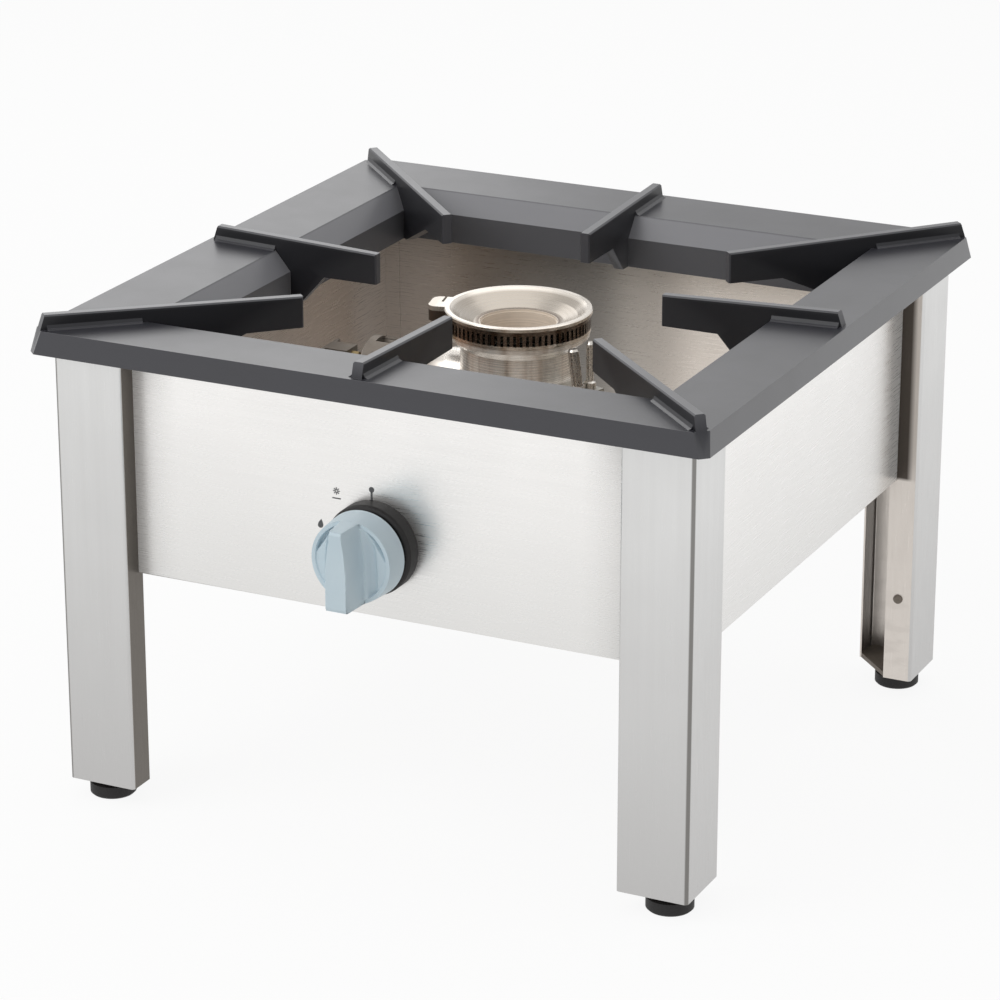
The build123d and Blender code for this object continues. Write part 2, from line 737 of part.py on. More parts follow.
def shutter_screw():
    """Locking screw with a round thumb head."""
    start, axis = shutter_screw_start(), shutter_screw_axis()
    base = shutter_wall
    return turned([(0, 0.1), (shutter_screw_radius, 0.1), (shutter_screw_radius, base),
                   (shutter_knob_radius, base), (shutter_knob_radius, base + shutter_knob_height - 1),
                   (shutter_knob_radius - 1, base + shutter_knob_height), (0, base + shutter_knob_height)],
                  start, axis)


# ---------------------------------------------------------------- injector
def injector():
    """Brass injector: hexagon on the holder, drilled nose towards the horn."""
    start = (elbow_face, 0, horn_height)
    body = hexagon(start, (1, 0, 0), injector_flats, injector_hex)
    body += turned([(0, injector_hex), (injector_nose_radius, injector_hex),
                    (injector_nose_radius, injector_hex + injector_nose * 0.6),
                    (injector_nose_radius * 0.5, injector_hex + injector_nose),
                    (0, injector_hex + injector_nose)], start, (1, 0, 0))
    return body - rod(start, (1, 0, 0), jet_radius, injector_hex + injector_nose)


def injector_holder():
    """Brass elbow on a bent steel foot that stands on the bridge, behind the horn's mouth."""
    side = elbow_side / 2
    body = block(elbow_back, elbow_face, -side, side, horn_height - side, horn_height + side)
    body += rod((elbow_axis, 0, horn_height), (0, -1, 0), elbow_branch_radius, side + elbow_branch)
    body -= rod((elbow_axis, 0, horn_height), (0, -1, 0), gas_way, side + elbow_branch + 1)
    body -= rod((elbow_axis, 0, horn_height), (1, 0, 0), gas_way, elbow_side)
    half = holder_width / 2
    back = elbow_back - holder_thick
    body += block(back, elbow_back, -half, half, bridge_height, horn_height + side)
    foot = back - holder_tab
    body += block(foot, back, -half, half, bridge_height, bridge_height + holder_thick)
    for x, y in holder_screw_places():
        body -= rod((x, y, bridge_height - 1), (0, 0, 1), screw_radius + hole_gap, holder_thick + 2)
    return body


# ---------------------------------------------------------------- pilot and thermocouple
def probe_place(sideways):
    """A probe's axis in plan: beside the bracket's middle line, at its distance from the burner."""
    a = radians(pilot_angle)
    return (pilot_radius_out * cos(a) - sideways * sin(a), pilot_radius_out * sin(a) + sideways * cos(a))


def pilot_bracket():
    """Bent strip screwed to the burner: upright plate and a shelf that holds both probes."""
    face = bowl_radius + bracket_boss
    half = bracket_width / 2
    body = block(face, face + bracket_sheet, -half, half, bracket_low, bracket_shelf)
    shelf_end = pilot_radius_out + bracket_shelf_depth / 2
    under = bracket_shelf - bracket_sheet
    body += block(face, shelf_end, -half, half, under, bracket_shelf)
    body += block(shelf_end - bracket_sheet, shelf_end, -half, half,
                  bracket_shelf - bracket_lip, bracket_shelf)
    for y, z in bracket_screw_places():
        body -= rod((face - 1, y, z), (1, 0, 0), screw_radius + hole_gap, bracket_sheet + 2)
    for s, probe in ((-1, pilot_body_radius), (1, thermo_radius)):
        start = (pilot_radius_out, s * probe_spacing / 2, under - 1)
        body -= rod(start, (0, 0, 1), probe + hole_gap, bracket_sheet + 2)
    return Rot(0, 0, pilot_angle) * body


def bracket_screws():
    """Two pan-head screws through the bracket into the burner's boss."""
    group = []
    start_x = bowl_radius + bracket_boss + bracket_sheet
    for y, z in bracket_screw_places():
        head = turned([(0, 0), (screw_head_radius, 0), (screw_head_radius, screw_head_height * 0.55),
                       (screw_head_radius * 0.7, screw_head_height), (0, screw_head_height)],
                      (start_x, y, z), (1, 0, 0))
        group.append(Rot(0, 0, pilot_angle) * (head + rod((start_x, y, z), (-1, 0, 0), screw_radius, 5)))
    return group


def pilot_burner():
    """Pilot: threaded tail, collar on the shelf, slim body and a hooded tip aimed at the ports."""
    x, y = probe_place(-probe_spacing / 2)
    collar_top = bracket_shelf + pilot_collar
    body = turned([(0, probe_tail), (pilot_body_radius, probe_tail), (pilot_body_radius, bracket_shelf),
                   (pilot_collar_radius, bracket_shelf), (pilot_collar_radius, collar_top),
                   (0, collar_top)], (x, y, 0))
    inward = (-cos(radians(pilot_angle)), -sin(radians(pilot_angle)), 0)
    lean = sin(radians(pilot_lean))
    axis = (inward[0] * lean, inward[1] * lean, cos(radians(pilot_lean)))
    length = pilot_tip - collar_top
    body += turned([(0, -pilot_collar / 2), (pilot_body_radius, -pilot_collar / 2),
                    (pilot_body_radius, length - 2), (pilot_body_radius - 1, length), (0, length)],
                   (x, y, collar_top), axis)
    mouth_place = [c + a * (length - 6) for c, a in zip((x, y, collar_top), axis)]
    body -= rod(tuple(mouth_place), inward, pilot_body_radius / 2, 2 * pilot_body_radius)
    return body - rod((x, y, probe_tail - 1), (0, 0, 1), pilot_pipe_radius, 12)


def thermocouple_probe():
    """Thermocouple: tail, collar on the shelf, slim round-ended probe."""
    x, y = probe_place(probe_spacing / 2)
    collar_top = bracket_shelf + pilot_collar
    return turned([(0, probe_tail), (thermo_radius, probe_tail), (thermo_radius, bracket_shelf),
                   (thermo_collar_radius, bracket_shelf), (thermo_collar_radius, collar_top),
                   (thermo_radius, collar_top + 1), (thermo_radius, thermo_tip - 2),
                   (thermo_radius - 1.2, thermo_tip), (0, thermo_tip)], (x, y, 0))


# ---------------------------------------------------------------- gas tap
def tap_bonnet():
    """Plate on the back of the front panel, with a neck through the panel for the spindle."""
    half_x, half_z = bonnet_width / 2, bonnet_tall / 2
    body = block(-half_x, half_x, tap_front, bonnet_back, tap_height - half_z, tap_height + half_z)
    corners = [e for e in body.edges().filter_by(Axis.Y)]
    body = fillet(corners, bonnet_tall / 4)
    neck = neck_reach + panel_sheet
    body += rod((0, tap_front, tap_height), (0, -1, 0), neck_radius, neck)
    body -= rod((0, bonnet_back + 1, tap_height), (0, -1, 0), spindle_radius + running_gap,
                bonnet_thick + neck + 2)
    for side in (-1, 1):
        start = (side * tap_screw_spacing / 2, tap_front - 1, tap_height)
        body -= rod(start, (0, 1, 0), screw_radius + hole_gap, bonnet_thick + 2)
    return body


def tap_body():
    """Brass body: spring chamber, tapered seat for the plug, bosses for the pipes and the magnet unit."""
    length = tap_back - bonnet_back
    front = (0, bonnet_back, tap_height)
    body = rod(front, (0, 1, 0), tap_body_radius, length)
    body += block(-bonnet_width / 2, bonnet_width / 2, bonnet_back, bonnet_back + 10,
                  tap_height - bonnet_tall / 2, tap_height + bonnet_tall / 2)
    for side in (-1, 1):
        body += rod((0, pipe_axis, tap_height), (side, 0, 0), boss_radius, boss_reach)
        start = (side * tap_screw_spacing / 2, bonnet_back - 1, tap_height)
        body -= rod(start, (0, 1, 0), screw_radius + hole_gap, tap_screw_length)
    body += rod((0, pipe_axis, tap_height), (0, 0, 1), pilot_boss_radius, pilot_boss_reach)
    room = plug_front - bonnet_back
    body -= turned([(0, 0), (tap_front_bore, 0), (tap_front_bore, room), (0, room)], front, (0, 1, 0))
    body -= turned([(0, room - 0.01), (plug_big + running_gap, room - 0.01), (plug_big + running_gap, room),
                    (plug_small + running_gap, room + plug_length), (0, room + plug_length)],
                   front, (0, 1, 0))
    for way in ((1, 0, 0), (-1, 0, 0), (0, 0, 1)):
        bore = gas_way if way[2] == 0 else gas_way / 2
        body -= rod((0, pipe_axis, tap_height), way, bore, boss_reach + 1)
    return body - rod((0, plug_back - 1, tap_height), (0, 1, 0), gas_way, plug_tail + 2)


def tap_plug():
    """Tapered brass plug with a cross way and a slot for the spindle's tang."""
    front = (0, plug_front, tap_height)
    body = turned([(0, 0.2), (plug_big, 0.2), (plug_small, plug_length - 0.2), (0, plug_length - 0.2)],
                  front, (0, 1, 0))
    body -= rod((-2 * plug_big, pipe_axis, tap_height), (1, 0, 0), gas_way, 4 * plug_big)
    half = tang_width / 2 + tang_gap
    slot = tang_length - (plug_front - collar_back) + push_travel + push_room
    return body - block(-plug_big, plug_big, plug_front - 1, plug_front + slot,
                        tap_height - half, tap_height + half)


def tap_spindle():
    """Steel spindle: flat front end in the knob, collar behind the bonnet, tang in the plug's slot."""
    tip = (0, bore_end, tap_height)
    length = collar_back - bore_end
    body = turned([(0, 0), (spindle_radius - 0.6, 0), (spindle_radius, 0.6),
                   (spindle_radius, length - spindle_collar),
                   (spindle_collar_radius, length - spindle_collar),
                   (spindle_collar_radius, length), (0, length)], tip, (0, 1, 0))
    flat_end = knob_back + 2
    body -= block(-spindle_radius, spindle_radius, bore_end - 1, flat_end,
                  tap_height + spindle_radius - spindle_flat, tap_height + spindle_radius + 1)
    tang = block(-spindle_radius, spindle_radius, collar_back - 0.5, collar_back + tang_length,
                 tap_height - tang_width / 2, tap_height + tang_width / 2)
    round_bar = rod((0, collar_back - 1, tap_height), (0, 1, 0), spindle_radius + 0.5, tang_length + 2)
    return body + (tang & round_bar)


def spindle_spring():
    """Return spring behind the spindle's collar, drawn closed up so that it keeps clear of the plug."""
    coil = spindle_collar_radius - spring_wire
    rings = []
    for i in range(spring_turns):
        y = collar_back + spring_wire * (1 + 2 * i)
        place = Plane(origin=(0, y, tap_height), z_dir=(0, 1, 0)).location
        rings.append(place * Torus(coil, spring_wire * 1.02))
    body = rings[0]
    for ring in rings[1:]:
        body += ring
    return body & rod((0, collar_back, tap_height), (0, 1, 0), 2 * coil, spring_room)


def magnet_unit():
    """Flame-failure magnet unit screwed into the tap's rear end."""
    return turned([(0, 0), (magnet_radius, 0), (magnet_radius, magnet_length - 2),
                   (magnet_radius - 2, magnet_length), (lead_radius, magnet_length), (0, magnet_length)],
                  (0, tap_back, tap_height), (0, 1, 0))


def magnet_nut():
    """Union nut that holds the magnet unit."""
    start = (0, tap_back, tap_height)
    return hexagon(start, (0, 1, 0), magnet_nut_flats, magnet_nut_height) - rod(
        start, (0, 1, 0), magnet_radius, magnet_nut_height)


def tap_screws():
    """Two screws through the front panel and the bonnet into the tap's body."""
    group = []
    for side in (-1, 1):
        start = (side * tap_screw_spacing / 2, -panel_face, tap_height)
        head = turned([(0, 0), (screw_head_radius, 0), (screw_head_radius, screw_head_height * 0.5),
                       (screw_head_radius * 0.7, screw_head_height), (0, screw_head_height)],
                      start, (0, -1, 0))
        group.append(head + rod(start, (0, 1, 0), screw_radius, tap_screw_length))
    return group


# ---------------------------------------------------------------- knob
def knob_bezel():
    """Black ring on the panel, behind the knob."""
    return turned([(bezel_bore, 0), (bezel_radius, 0), (bezel_radius, bezel_thick - bezel_round),
                   (bezel_radius - bezel_round * 0.3, bezel_thick - bezel_round * 0.3),
                   (bezel_radius - bezel_round, bezel_thick), (bezel_bore, bezel_thick)],
                  (0, -panel_face, tap_height), (0, -1, 0))


def knob():
    """One moulding: hollow tapered disc, tall grip bar across it, and a hub with a flatted bore."""
    start = (0, knob_back, tap_height)
    small = knob_radius - knob_taper
    disc = turned([(0, 0), (knob_radius, 0), (small, knob_skirt - knob_wall),
                   (small - knob_wall, knob_skirt), (0, knob_skirt)], start, (0, -1, 0))
    hollow = turned([(0, -1), (knob_radius - knob_wall, -1), (small - knob_wall, knob_skirt - knob_wall - 1),
                     (0, knob_skirt - knob_wall - 1)], start, (0, -1, 0))
    half, side = grip_length / 2, grip_width / 2
    grip = block(-side, side, grip_front, disc_front + knob_wall, tap_height - half, tap_height + half)
    grip = fillet([e for e in grip.edges().filter_by(Axis.X) if e.center().Y < disc_front], grip_end)
    grip = fillet([e for e in grip.edges().filter_by(Axis.Z) if e.center().Y < disc_front], grip_end / 2)
    hub = rod((0, knob_back, tap_height), (0, -1, 0), hub_radius, hub_bore_depth + 2 * knob_wall)
    body = disc + grip - hollow + hub
    bore = rod((0, knob_back + 1, tap_height), (0, -1, 0), spindle_radius + running_gap, hub_bore_depth + 1.3)
    flat = block(-hub_radius, hub_radius, bore_end - 1, knob_back - 2,
                 tap_height + spindle_radius - spindle_flat + running_gap, tap_height + hub_radius)
    body -= bore - flat
    slot_z = tap_height + spindle_radius + 1.0
    return body - block(-clip_length / 2, clip_length / 2, knob_back - clip_length, knob_back + 1,
                        slot_z, slot_z + clip_slot)


def knob_clip():
    """Flat spring in the hub's slot, over the spindle's flat."""
    slot_z = tap_height + spindle_radius + 1.0
    inset = 0.1
    return block(-clip_length / 2 + inset, clip_length / 2 - inset, knob_back - clip_length, knob_back - 1,
                 slot_z, slot_z + clip_slot - inset)


# ---------------------------------------------------------------- pipes
def union_nut(start, axis, flats, pipe_radius, length):
    """Union nut round the end of a pipe."""
    return hexagon(start, axis, flats, length) - rod(start, axis, pipe_radius, length)


def supply_pipe():
    """From the tap's right-hand boss to the inlet at the rear."""
    end = panel_back - inlet_inside
    return tube([(boss_reach, pipe_axis, tap_height), (supply_offset, pipe_axis, tap_height),
                 (supply_offset, end, tap_height)], supply_bend, supply_radius, supply_wall)


def supply_nuts():
    """Union nuts at both ends of the supply pipe."""
    end = panel_back - inlet_inside
    places = (((boss_reach, pipe_axis, tap_height), (1, 0, 0)),
              ((supply_offset, end, tap_height), (0, -1, 0)))
    return [union_nut(*place, supply_nut_flats, supply_radius, nut_length) for place in places]


def feed_pipe():
    """From the tap's left-hand boss to the injector holder."""
    climb = pipe_axis + 85.0
    end = -elbow_side / 2 - elbow_branch
    return tube([(-boss_reach, pipe_axis, tap_height), (elbow_axis, pipe_axis, tap_height),
                 (elbow_axis, climb, horn_height), (elbow_axis, end, horn_height)],
                feed_bend, feed_radius, feed_wall)


def feed_nuts():
    """Union nuts at both ends of the feed pipe."""
    end = -elbow_side / 2 - elbow_branch
    places = (((-boss_reach, pipe_axis, tap_height), (-1, 0, 0)),
              ((elbow_axis, end, horn_height), (0, -1, 0)))
    return [union_nut(*place, feed_nut_flats, feed_radius, nut_length) for place in places]


def pilot_tube():
    """From the tap's top boss to the pilot burner's tail."""
    x, y = probe_place(-probe_spacing / 2)
    top = pipe_level + pilot_pipe_bend
    return tube([(0, pipe_axis, tap_height + pilot_boss_reach), (0, pipe_axis, top),
                 (x, pipe_axis + 60.0, top), (x, y, pipe_level), (x, y, probe_tail)],
                pilot_pipe_bend, pilot_pipe_radius, pilot_pipe_wall)


def pilot_nuts():
    """Small nuts at both ends of the pilot tube."""
    x, y = probe_place(-probe_spacing / 2)
    return [union_nut((0, pipe_axis, tap_height + pilot_boss_reach), (0, 0, 1), pilot_nut_flats,
                      pilot_pipe_radius, small_nut_length),
            union_nut((x, y, probe_tail), (0, 0, -1), pilot_nut_flats, pilot_pipe_radius, small_nut_length)]


def thermocouple_lead():
    """Stiff lead from the magnet unit, past the pilot tube, to the thermocouple's tail."""
    x, y = probe_place(probe_spacing / 2)
    start = tap_back + magnet_length
    past = x + 2.5 * lead_bend
    return tube([(0, start, tap_height), (0, start + 26.0, tap_height), (past, start + 90.0, pipe_level),
                 (past, y, pipe_level), (x, y, pipe_level), (x, y, probe_tail)], lead_bend, lead_radius)


# ---------------------------------------------------------------- gas inlet
def inlet_connector():
    """Male thread behind the rear panel, hexagon on it, and a threaded stub inside."""
    face = (supply_offset, panel_face, tap_height)
    hex_end = (supply_offset, panel_face + washer_thick, tap_height)
    body = hexagon(hex_end, (0, 1, 0), inlet_hex_flats, inlet_hex)
    body += rod(face, (0, 1, 0), inlet_radius, inlet_reach - panel_face)
    body += rod(face, (0, -1, 0), inlet_radius, panel_sheet + inlet_inside)
    start = (supply_offset, panel_back - inlet_inside - 1, tap_height)
    return body - rod(start, (0, 1, 0), inlet_bore, inlet_reach)


def inlet_washer():
    """Washer between the connector's hexagon and the panel."""
    start = (supply_offset, panel_face, tap_height)
    disc = rod(start, (0, 1, 0), washer_radius, washer_thick)
    return disc - rod(start, (0, 1, 0), inlet_radius, washer_thick)


def inlet_locknut():
    """Locknut on the stub, against the panel's inner face."""
    start = (supply_offset, panel_back, tap_height)
    return hexagon(start, (0, -1, 0), inlet_hex_flats, locknut_height) - rod(
        start, (0, -1, 0), inlet_radius, locknut_height)


# ---------------------------------------------------------------- write the nodes
CORNERS = ("front_left", "front_right", "rear_right", "rear_left")

save("pan_support", pan_support())
save("front_panel", front_panel())
save("rear_panel", rear_panel())
save("right_panel", Rot(0, 0, 90) * side_panel())
save("left_panel", Rot(0, 0, -90) * side_panel())
for name, piece in zip(CORNERS, quarter_turns(leg())):
    save(f"leg_{name}", piece)
for name, piece in zip(CORNERS, quarter_turns(foot_plate())):
    save(f"foot_plate_{name}", piece)
for name, piece in zip(CORNERS, quarter_turns(foot_pad())):
    save(f"foot_pad_{name}", piece)
for name, piece in zip(CORNERS, quarter_turns(foot_stud())):
    save(f"foot_stud_{name}", piece)
save("foot_nuts", quarter_turns(foot_nut()))
save("leg_screws", quarter_turns(shelf_screw()))

save("burner_bridge", burner_bridge())
save("bridge_screws", [screw_down(x, y, lip_top + bridge_sheet) for x, y in bridge_screw_places()])
save("burner_screws", [screw_down(x, y, bridge_height + base_thick) for x, y in burner_screw_places()])
save("burner_body", burner_body())
save("burner_crown", burner_crown())
save("air_shutter", air_shutter())
save("shutter_screw", shutter_screw())
save("injector", injector())
save("injector_holder", injector_holder())
save("holder_screws", [screw_down(x, y, bridge_height + holder_thick) for x, y in holder_screw_places()])
save("pilot_bracket", pilot_bracket())
save("bracket_screws", bracket_screws())
save("pilot_burner", pilot_burner())
save("thermocouple_probe", thermocouple_probe())

save("tap_bonnet", tap_bonnet())
save("tap_body", tap_body())
save("tap_plug", tap_plug())
save("tap_spindle", tap_spindle())
save("spindle_spring", spindle_spring())
save("tap_screws", tap_screws())
save("magnet_unit", magnet_unit())
save("magnet_nut", magnet_nut())
save("knob_bezel", knob_bezel())
save("knob", knob())
save("knob_clip", knob_clip())

save("supply_pipe", supply_pipe())
save("supply_nuts", supply_nuts())
save("feed_pipe", feed_pipe())
save("feed_nuts", feed_nuts())
save("pilot_tube", pilot_tube())
save("pilot_nuts", pilot_nuts())
save("thermocouple_lead", thermocouple_lead())
save("inlet_connector", inlet_connector())
save("inlet_washer", inlet_washer())
save("inlet_locknut", inlet_locknut())
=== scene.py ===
import json
import math

import bmesh
import bpy
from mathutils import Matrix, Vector


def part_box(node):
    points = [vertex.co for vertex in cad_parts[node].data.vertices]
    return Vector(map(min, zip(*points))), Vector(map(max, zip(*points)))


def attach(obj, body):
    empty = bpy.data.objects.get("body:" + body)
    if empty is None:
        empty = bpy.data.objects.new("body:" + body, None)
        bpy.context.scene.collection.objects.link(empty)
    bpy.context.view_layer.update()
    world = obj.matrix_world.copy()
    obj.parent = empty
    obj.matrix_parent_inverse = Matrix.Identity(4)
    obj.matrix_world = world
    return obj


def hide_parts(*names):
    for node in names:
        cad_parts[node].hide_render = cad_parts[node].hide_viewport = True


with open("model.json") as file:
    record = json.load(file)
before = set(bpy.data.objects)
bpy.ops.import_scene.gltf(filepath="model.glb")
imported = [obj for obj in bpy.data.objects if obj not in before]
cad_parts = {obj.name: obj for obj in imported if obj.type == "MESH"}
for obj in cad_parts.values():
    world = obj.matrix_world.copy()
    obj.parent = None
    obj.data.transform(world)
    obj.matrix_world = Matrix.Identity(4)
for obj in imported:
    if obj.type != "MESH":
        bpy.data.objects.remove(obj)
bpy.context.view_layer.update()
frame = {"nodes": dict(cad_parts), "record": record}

# Stock pot range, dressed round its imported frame. Metres, +Z up, the knob faces -Y.
MM = 0.001
NODES = frame["nodes"]
SLOT_OF = {s["node"]: s["material_slot"] for s in frame["record"]["subparts"]}
BODY_OF = {n: b for b, members in frame["record"]["behaviour"]["bodies"].items() for n in members}
SHEET_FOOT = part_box("leg_front_left")[0][2]
SHEET_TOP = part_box("leg_front_left")[1][2]
PANEL_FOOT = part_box("front_panel")[0][2]
PANEL_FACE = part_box("front_panel")[0][1]
CROWN_LOW, CROWN_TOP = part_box("burner_crown")[0][2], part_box("burner_crown")[1][2]
RIM_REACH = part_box("pan_support")[1][0]

# where a finish changes over, from one distance to another: metres from the middle of the range
WELL_WALL = (206 * MM, 209 * MM)        # just inside the upright walls of the pan support's opening
WELL_SLOPE_END = (223 * MM, 225 * MM)   # at the top of the slope above those walls
RIM_SIDE = (RIM_REACH - 6 * MM, RIM_REACH - 3 * MM)
LESS_METAL_NEAR_LEGS = (175 * MM, 212 * MM)       # on a panel, the second just before the leg
LEG_GAP = (-PANEL_FACE + 9 * MM, -PANEL_FACE + 14 * MM)
LOW_PATCH_HEIGHTS = (50 * MM, 150 * MM)        # heights over the floor

# the same on the burner, as radii round its axis
THROAT = (32 * MM, 33 * MM)
HOLE_RING = (33.5 * MM, 36 * MM)
DISH_EDGE = (53 * MM, 55 * MM)
PORT_WALL = (57.5 * MM, 58.5 * MM)
RAW_SKIN = (62 * MM, 78 * MM)
PORTS = (CROWN_LOW + 3 * MM, CROWN_TOP - 3.5 * MM)   # lower and upper end of the flame ports
PORTS_FADE = 0.6 * MM

# kinds of node that come up often; a range takes a value, its two ends and the two results
MATH = "ShaderNodeMath"
VECTOR = "ShaderNodeVectorMath"
RANGE = "ShaderNodeMapRange"
MIX = "ShaderNodeMix"
MIDDLE = (0.3, 0.7)                     # the part of 0 to 1 where a noise's values lie


# ---------------------------------------------------------------- nodes
def colour(text):
    """An sRGB hex value as linear red, green, blue and alpha."""
    parts = [int(text[i:i + 2], 16) / 255 for i in (1, 3, 5)]
    return tuple(p / 12.92 if p <= 0.04045 else ((p + 0.055) / 1.055) ** 2.4 for p in parts) + (1.0,)


def add(tree, kind, inputs=(), take=None, **settings):
    """One node with its settings, input values and links. Returns the node, or its output `take`.

    The inputs are given in the node's own order, or by name or number. A text is a colour.
    """
    node = tree.nodes.new(kind)
    for name, value in settings.items():
        setattr(node, name, value)
    for name, value in (inputs.items() if isinstance(inputs, dict) else enumerate(inputs)):
        if isinstance(value, bpy.types.NodeSocket):
            tree.links.new(value, node.inputs[name])
        else:
            node.inputs[name].default_value = colour(value) if isinstance(value, str) else value
    return node if take is None else node.outputs[take]


def empty_finish(name):
    """A new material and its empty tree."""
    material = bpy.data.materials.new(name)
    material.use_nodes = True
    material.node_tree.nodes.clear()
    return material, material.node_tree


def shaded(material, base, coats, rough, values):
    """The material, ended with one shader of this roughness and other values.

    The coats lie over the base colour in turn, each given as (share, colour).
    """
    tree = material.node_tree
    for share, tone in coats:
        base = add(tree, MIX, {0: share, 6: base, 7: tone}, 2, data_type="RGBA")
    shader = add(tree, "ShaderNodeBsdfPrincipled", {"Base Color": base, "Roughness": rough, **values}, "BSDF")
    add(tree, "ShaderNodeOutputMaterial", {"Surface": shader})
    return material


def place_of(tree):
    """The Object coordinates and, taken apart, their x, y and z."""
    spot = add(tree, "ShaderNodeTexCoord", take="Object")
    return spot, add(tree, "ShaderNodeSeparateXYZ", (spot,)).outputs


def facing_of(tree):
    """The surface's own direction and, taken apart, its x, y and z."""
    way = add(tree, "ShaderNodeTexCoord", take="Normal")
    return way, add(tree, "ShaderNodeSeparateXYZ", (way,)).outputs


def grain(tree, period, along=(1, 1, 1), detail=3.0, shift=(0, 0, 0)):
    """Noise on Object coordinates, one cell every `period` millimetres, stretched along an axis."""
    unit = 1.0 / (period * MM)
    spot = add(tree, "ShaderNodeTexCoord", take="Object")
    scaled = add(tree, "ShaderNodeMapping", {
        "Vector": spot, "Scale": tuple(unit / a for a in along), "Location": shift}, "Vector")
    return add(tree, "ShaderNodeTexNoise", {
        "Vector": scaled, "Scale": 1.0, "Detail": detail, "Roughness": 0.55}, "Fac")


# ---------------------------------------------------------------- finishes
def inner_share(tree):
    """1 on a sheet's faces that look at the middle of the range or lie flat, 0 on its outward faces."""
    spot = add(tree, "ShaderNodeTexCoord", take="Object")
    way, facing = facing_of(tree)
    level = add(tree, VECTOR, (spot, (1, 1, 0)), 0, operation="MULTIPLY")
    outward = add(tree, VECTOR, (level,), 0, operation="NORMALIZE")
    turned = add(tree, VECTOR, (outward, way), "Value", operation="DOT_PRODUCT")
    inwards = add(tree, RANGE, (turned, -0.5, -0.3, 1.0, 0.0), 0)
    upwards = add(tree, MATH, (facing["Z"],), 0, operation="ABSOLUTE")
    flat = add(tree, RANGE, (upwards, 0.6, 0.9, 0.0, 1.0), 0)
    return add(tree, MATH, (inwards, flat), 0, operation="MAXIMUM")


def corner_fold(tree, place, facing, share):
    """`share` of painted shade on a leg's corner bend, which looks out along x and y at once, and 0
    elsewhere.
    """
    bend = add(tree, MATH, (facing["X"], facing["Y"]), 0, operation="MULTIPLY")
    quarter = add(tree, MATH, (place["X"], place["Y"]), 0, operation="MULTIPLY")
    side = add(tree, MATH, (quarter,), 0, operation="SIGN")
    outer = add(tree, MATH, (bend, side), 0, operation="MULTIPLY")
    return add(tree, RANGE, (outer, 0.05, 0.3, 0.0, share), 0)


def leg_gap_shade(tree, place, facing, across):
    """Dark between a leg's face and the front or rear panel, above the panel's lower edge."""
    near = add(tree, RANGE, (across, *LEG_GAP, 0.95, 0.2), 0)
    along_y = add(tree, MATH, (facing["Y"],), 0, operation="ABSOLUTE")
    faced = add(tree, RANGE, (along_y, 0.2, 0.8, 0.1, 1.0), 0)
    above = add(tree, RANGE, (place["Z"], PANEL_FOOT, PANEL_FOOT + 3 * MM, 0.0, 1.0), 0)
    for share in (faced, above):
        near = add(tree, MATH, (near, share), 0, operation="MULTIPLY")
    return near


def brushed_sheet(name, tones, span, along, inner, roughness=0.29, fold=0.0):
    """Brushed AISI 430 sheet: fine parallel scratches, a soft cloudy sheen, and painted reflection that
    darkens it towards the bottom.

    The faces turned inwards carry painted shade: darker tones, and darker still where a gap is narrow.
    `fold` is the share of painted shade on a leg's corner bend, and 0 on a panel.
    """
    material, tree = empty_finish(name)
    # real brushing is finer than 0.1 mm; drawn at 0.7 mm so that it shows
    scratches = grain(tree, 0.7, along, detail=4.0)
    clouds = grain(tree, 90.0, detail=2.0)
    streaks = grain(tree, 6.0, along, detail=2.0, shift=(3, 7, 1))
    _, place = place_of(tree)
    _, facing = facing_of(tree)
    light, dull = tones
    coats = [
        # painted reflection: the sheet darkens towards its lower end
        (add(tree, RANGE, (place["Z"], *span, 1.0, 0.0), 0), dull),
        (add(tree, RANGE, (clouds, *MIDDLE, 0.0, 0.22), 0), dull),
        (add(tree, RANGE, (streaks, *MIDDLE, 0.0, 0.14), 0), dull)]
    if fold:
        # painted shade along the leg's corner bend
        coats.append((corner_fold(tree, place, facing, fold), "#66635F"))
    hidden = inner_share(tree)
    # painted shade on the faces turned inwards
    coats.append((hidden, inner(tree, place, facing)))
    # painted shade where other parts come close, found by ambient occlusion; it is laid on the inward faces
    # below
    near = add(tree, "ShaderNodeAmbientOcclusion", {"Distance": 30 * MM}, "AO", samples=6)
    shade = add(tree, RANGE, (near, 0.25, 0.85, 0.4 if fold else 0.1, 0.0), 0)
    # how far a spot on an upright face lies from the middle of that side of the range
    arms = []
    for one, other in (("X", "Y"), ("Y", "X")):
        arm = add(tree, MATH, (place[one], facing[other]), 0, operation="MULTIPLY")
        arms.append(add(tree, MATH, (arm,), 0, operation="ABSOLUTE"))
    across = add(tree, MATH, arms, 0, operation="ADD")
    if fold:
        metal = 1.0
        gap = leg_gap_shade(tree, place, facing, across)
        shade = add(tree, MATH, (shade, gap), 0, operation="MAXIMUM")
    else:
        # less metallic beside the legs, so that the legs' dark mirror image doesn't show in the sheet there
        metal = add(tree, RANGE, (across, *LESS_METAL_NEAR_LEGS, 1.0, 0.3), 0)
    coats.append((add(tree, MATH, (shade, hidden), 0, operation="MULTIPLY"), "#3A332D"))
    rough = add(tree, RANGE, (scratches, *MIDDLE, roughness - 0.06, roughness + 0.1), 0)
    relief = add(tree, "ShaderNodeBump", {
        "Height": scratches, "Distance": 0.02 * MM, "Strength": 0.25}, "Normal")
    return shaded(material, light, coats, rough, {"Metallic": metal, "Normal": relief})


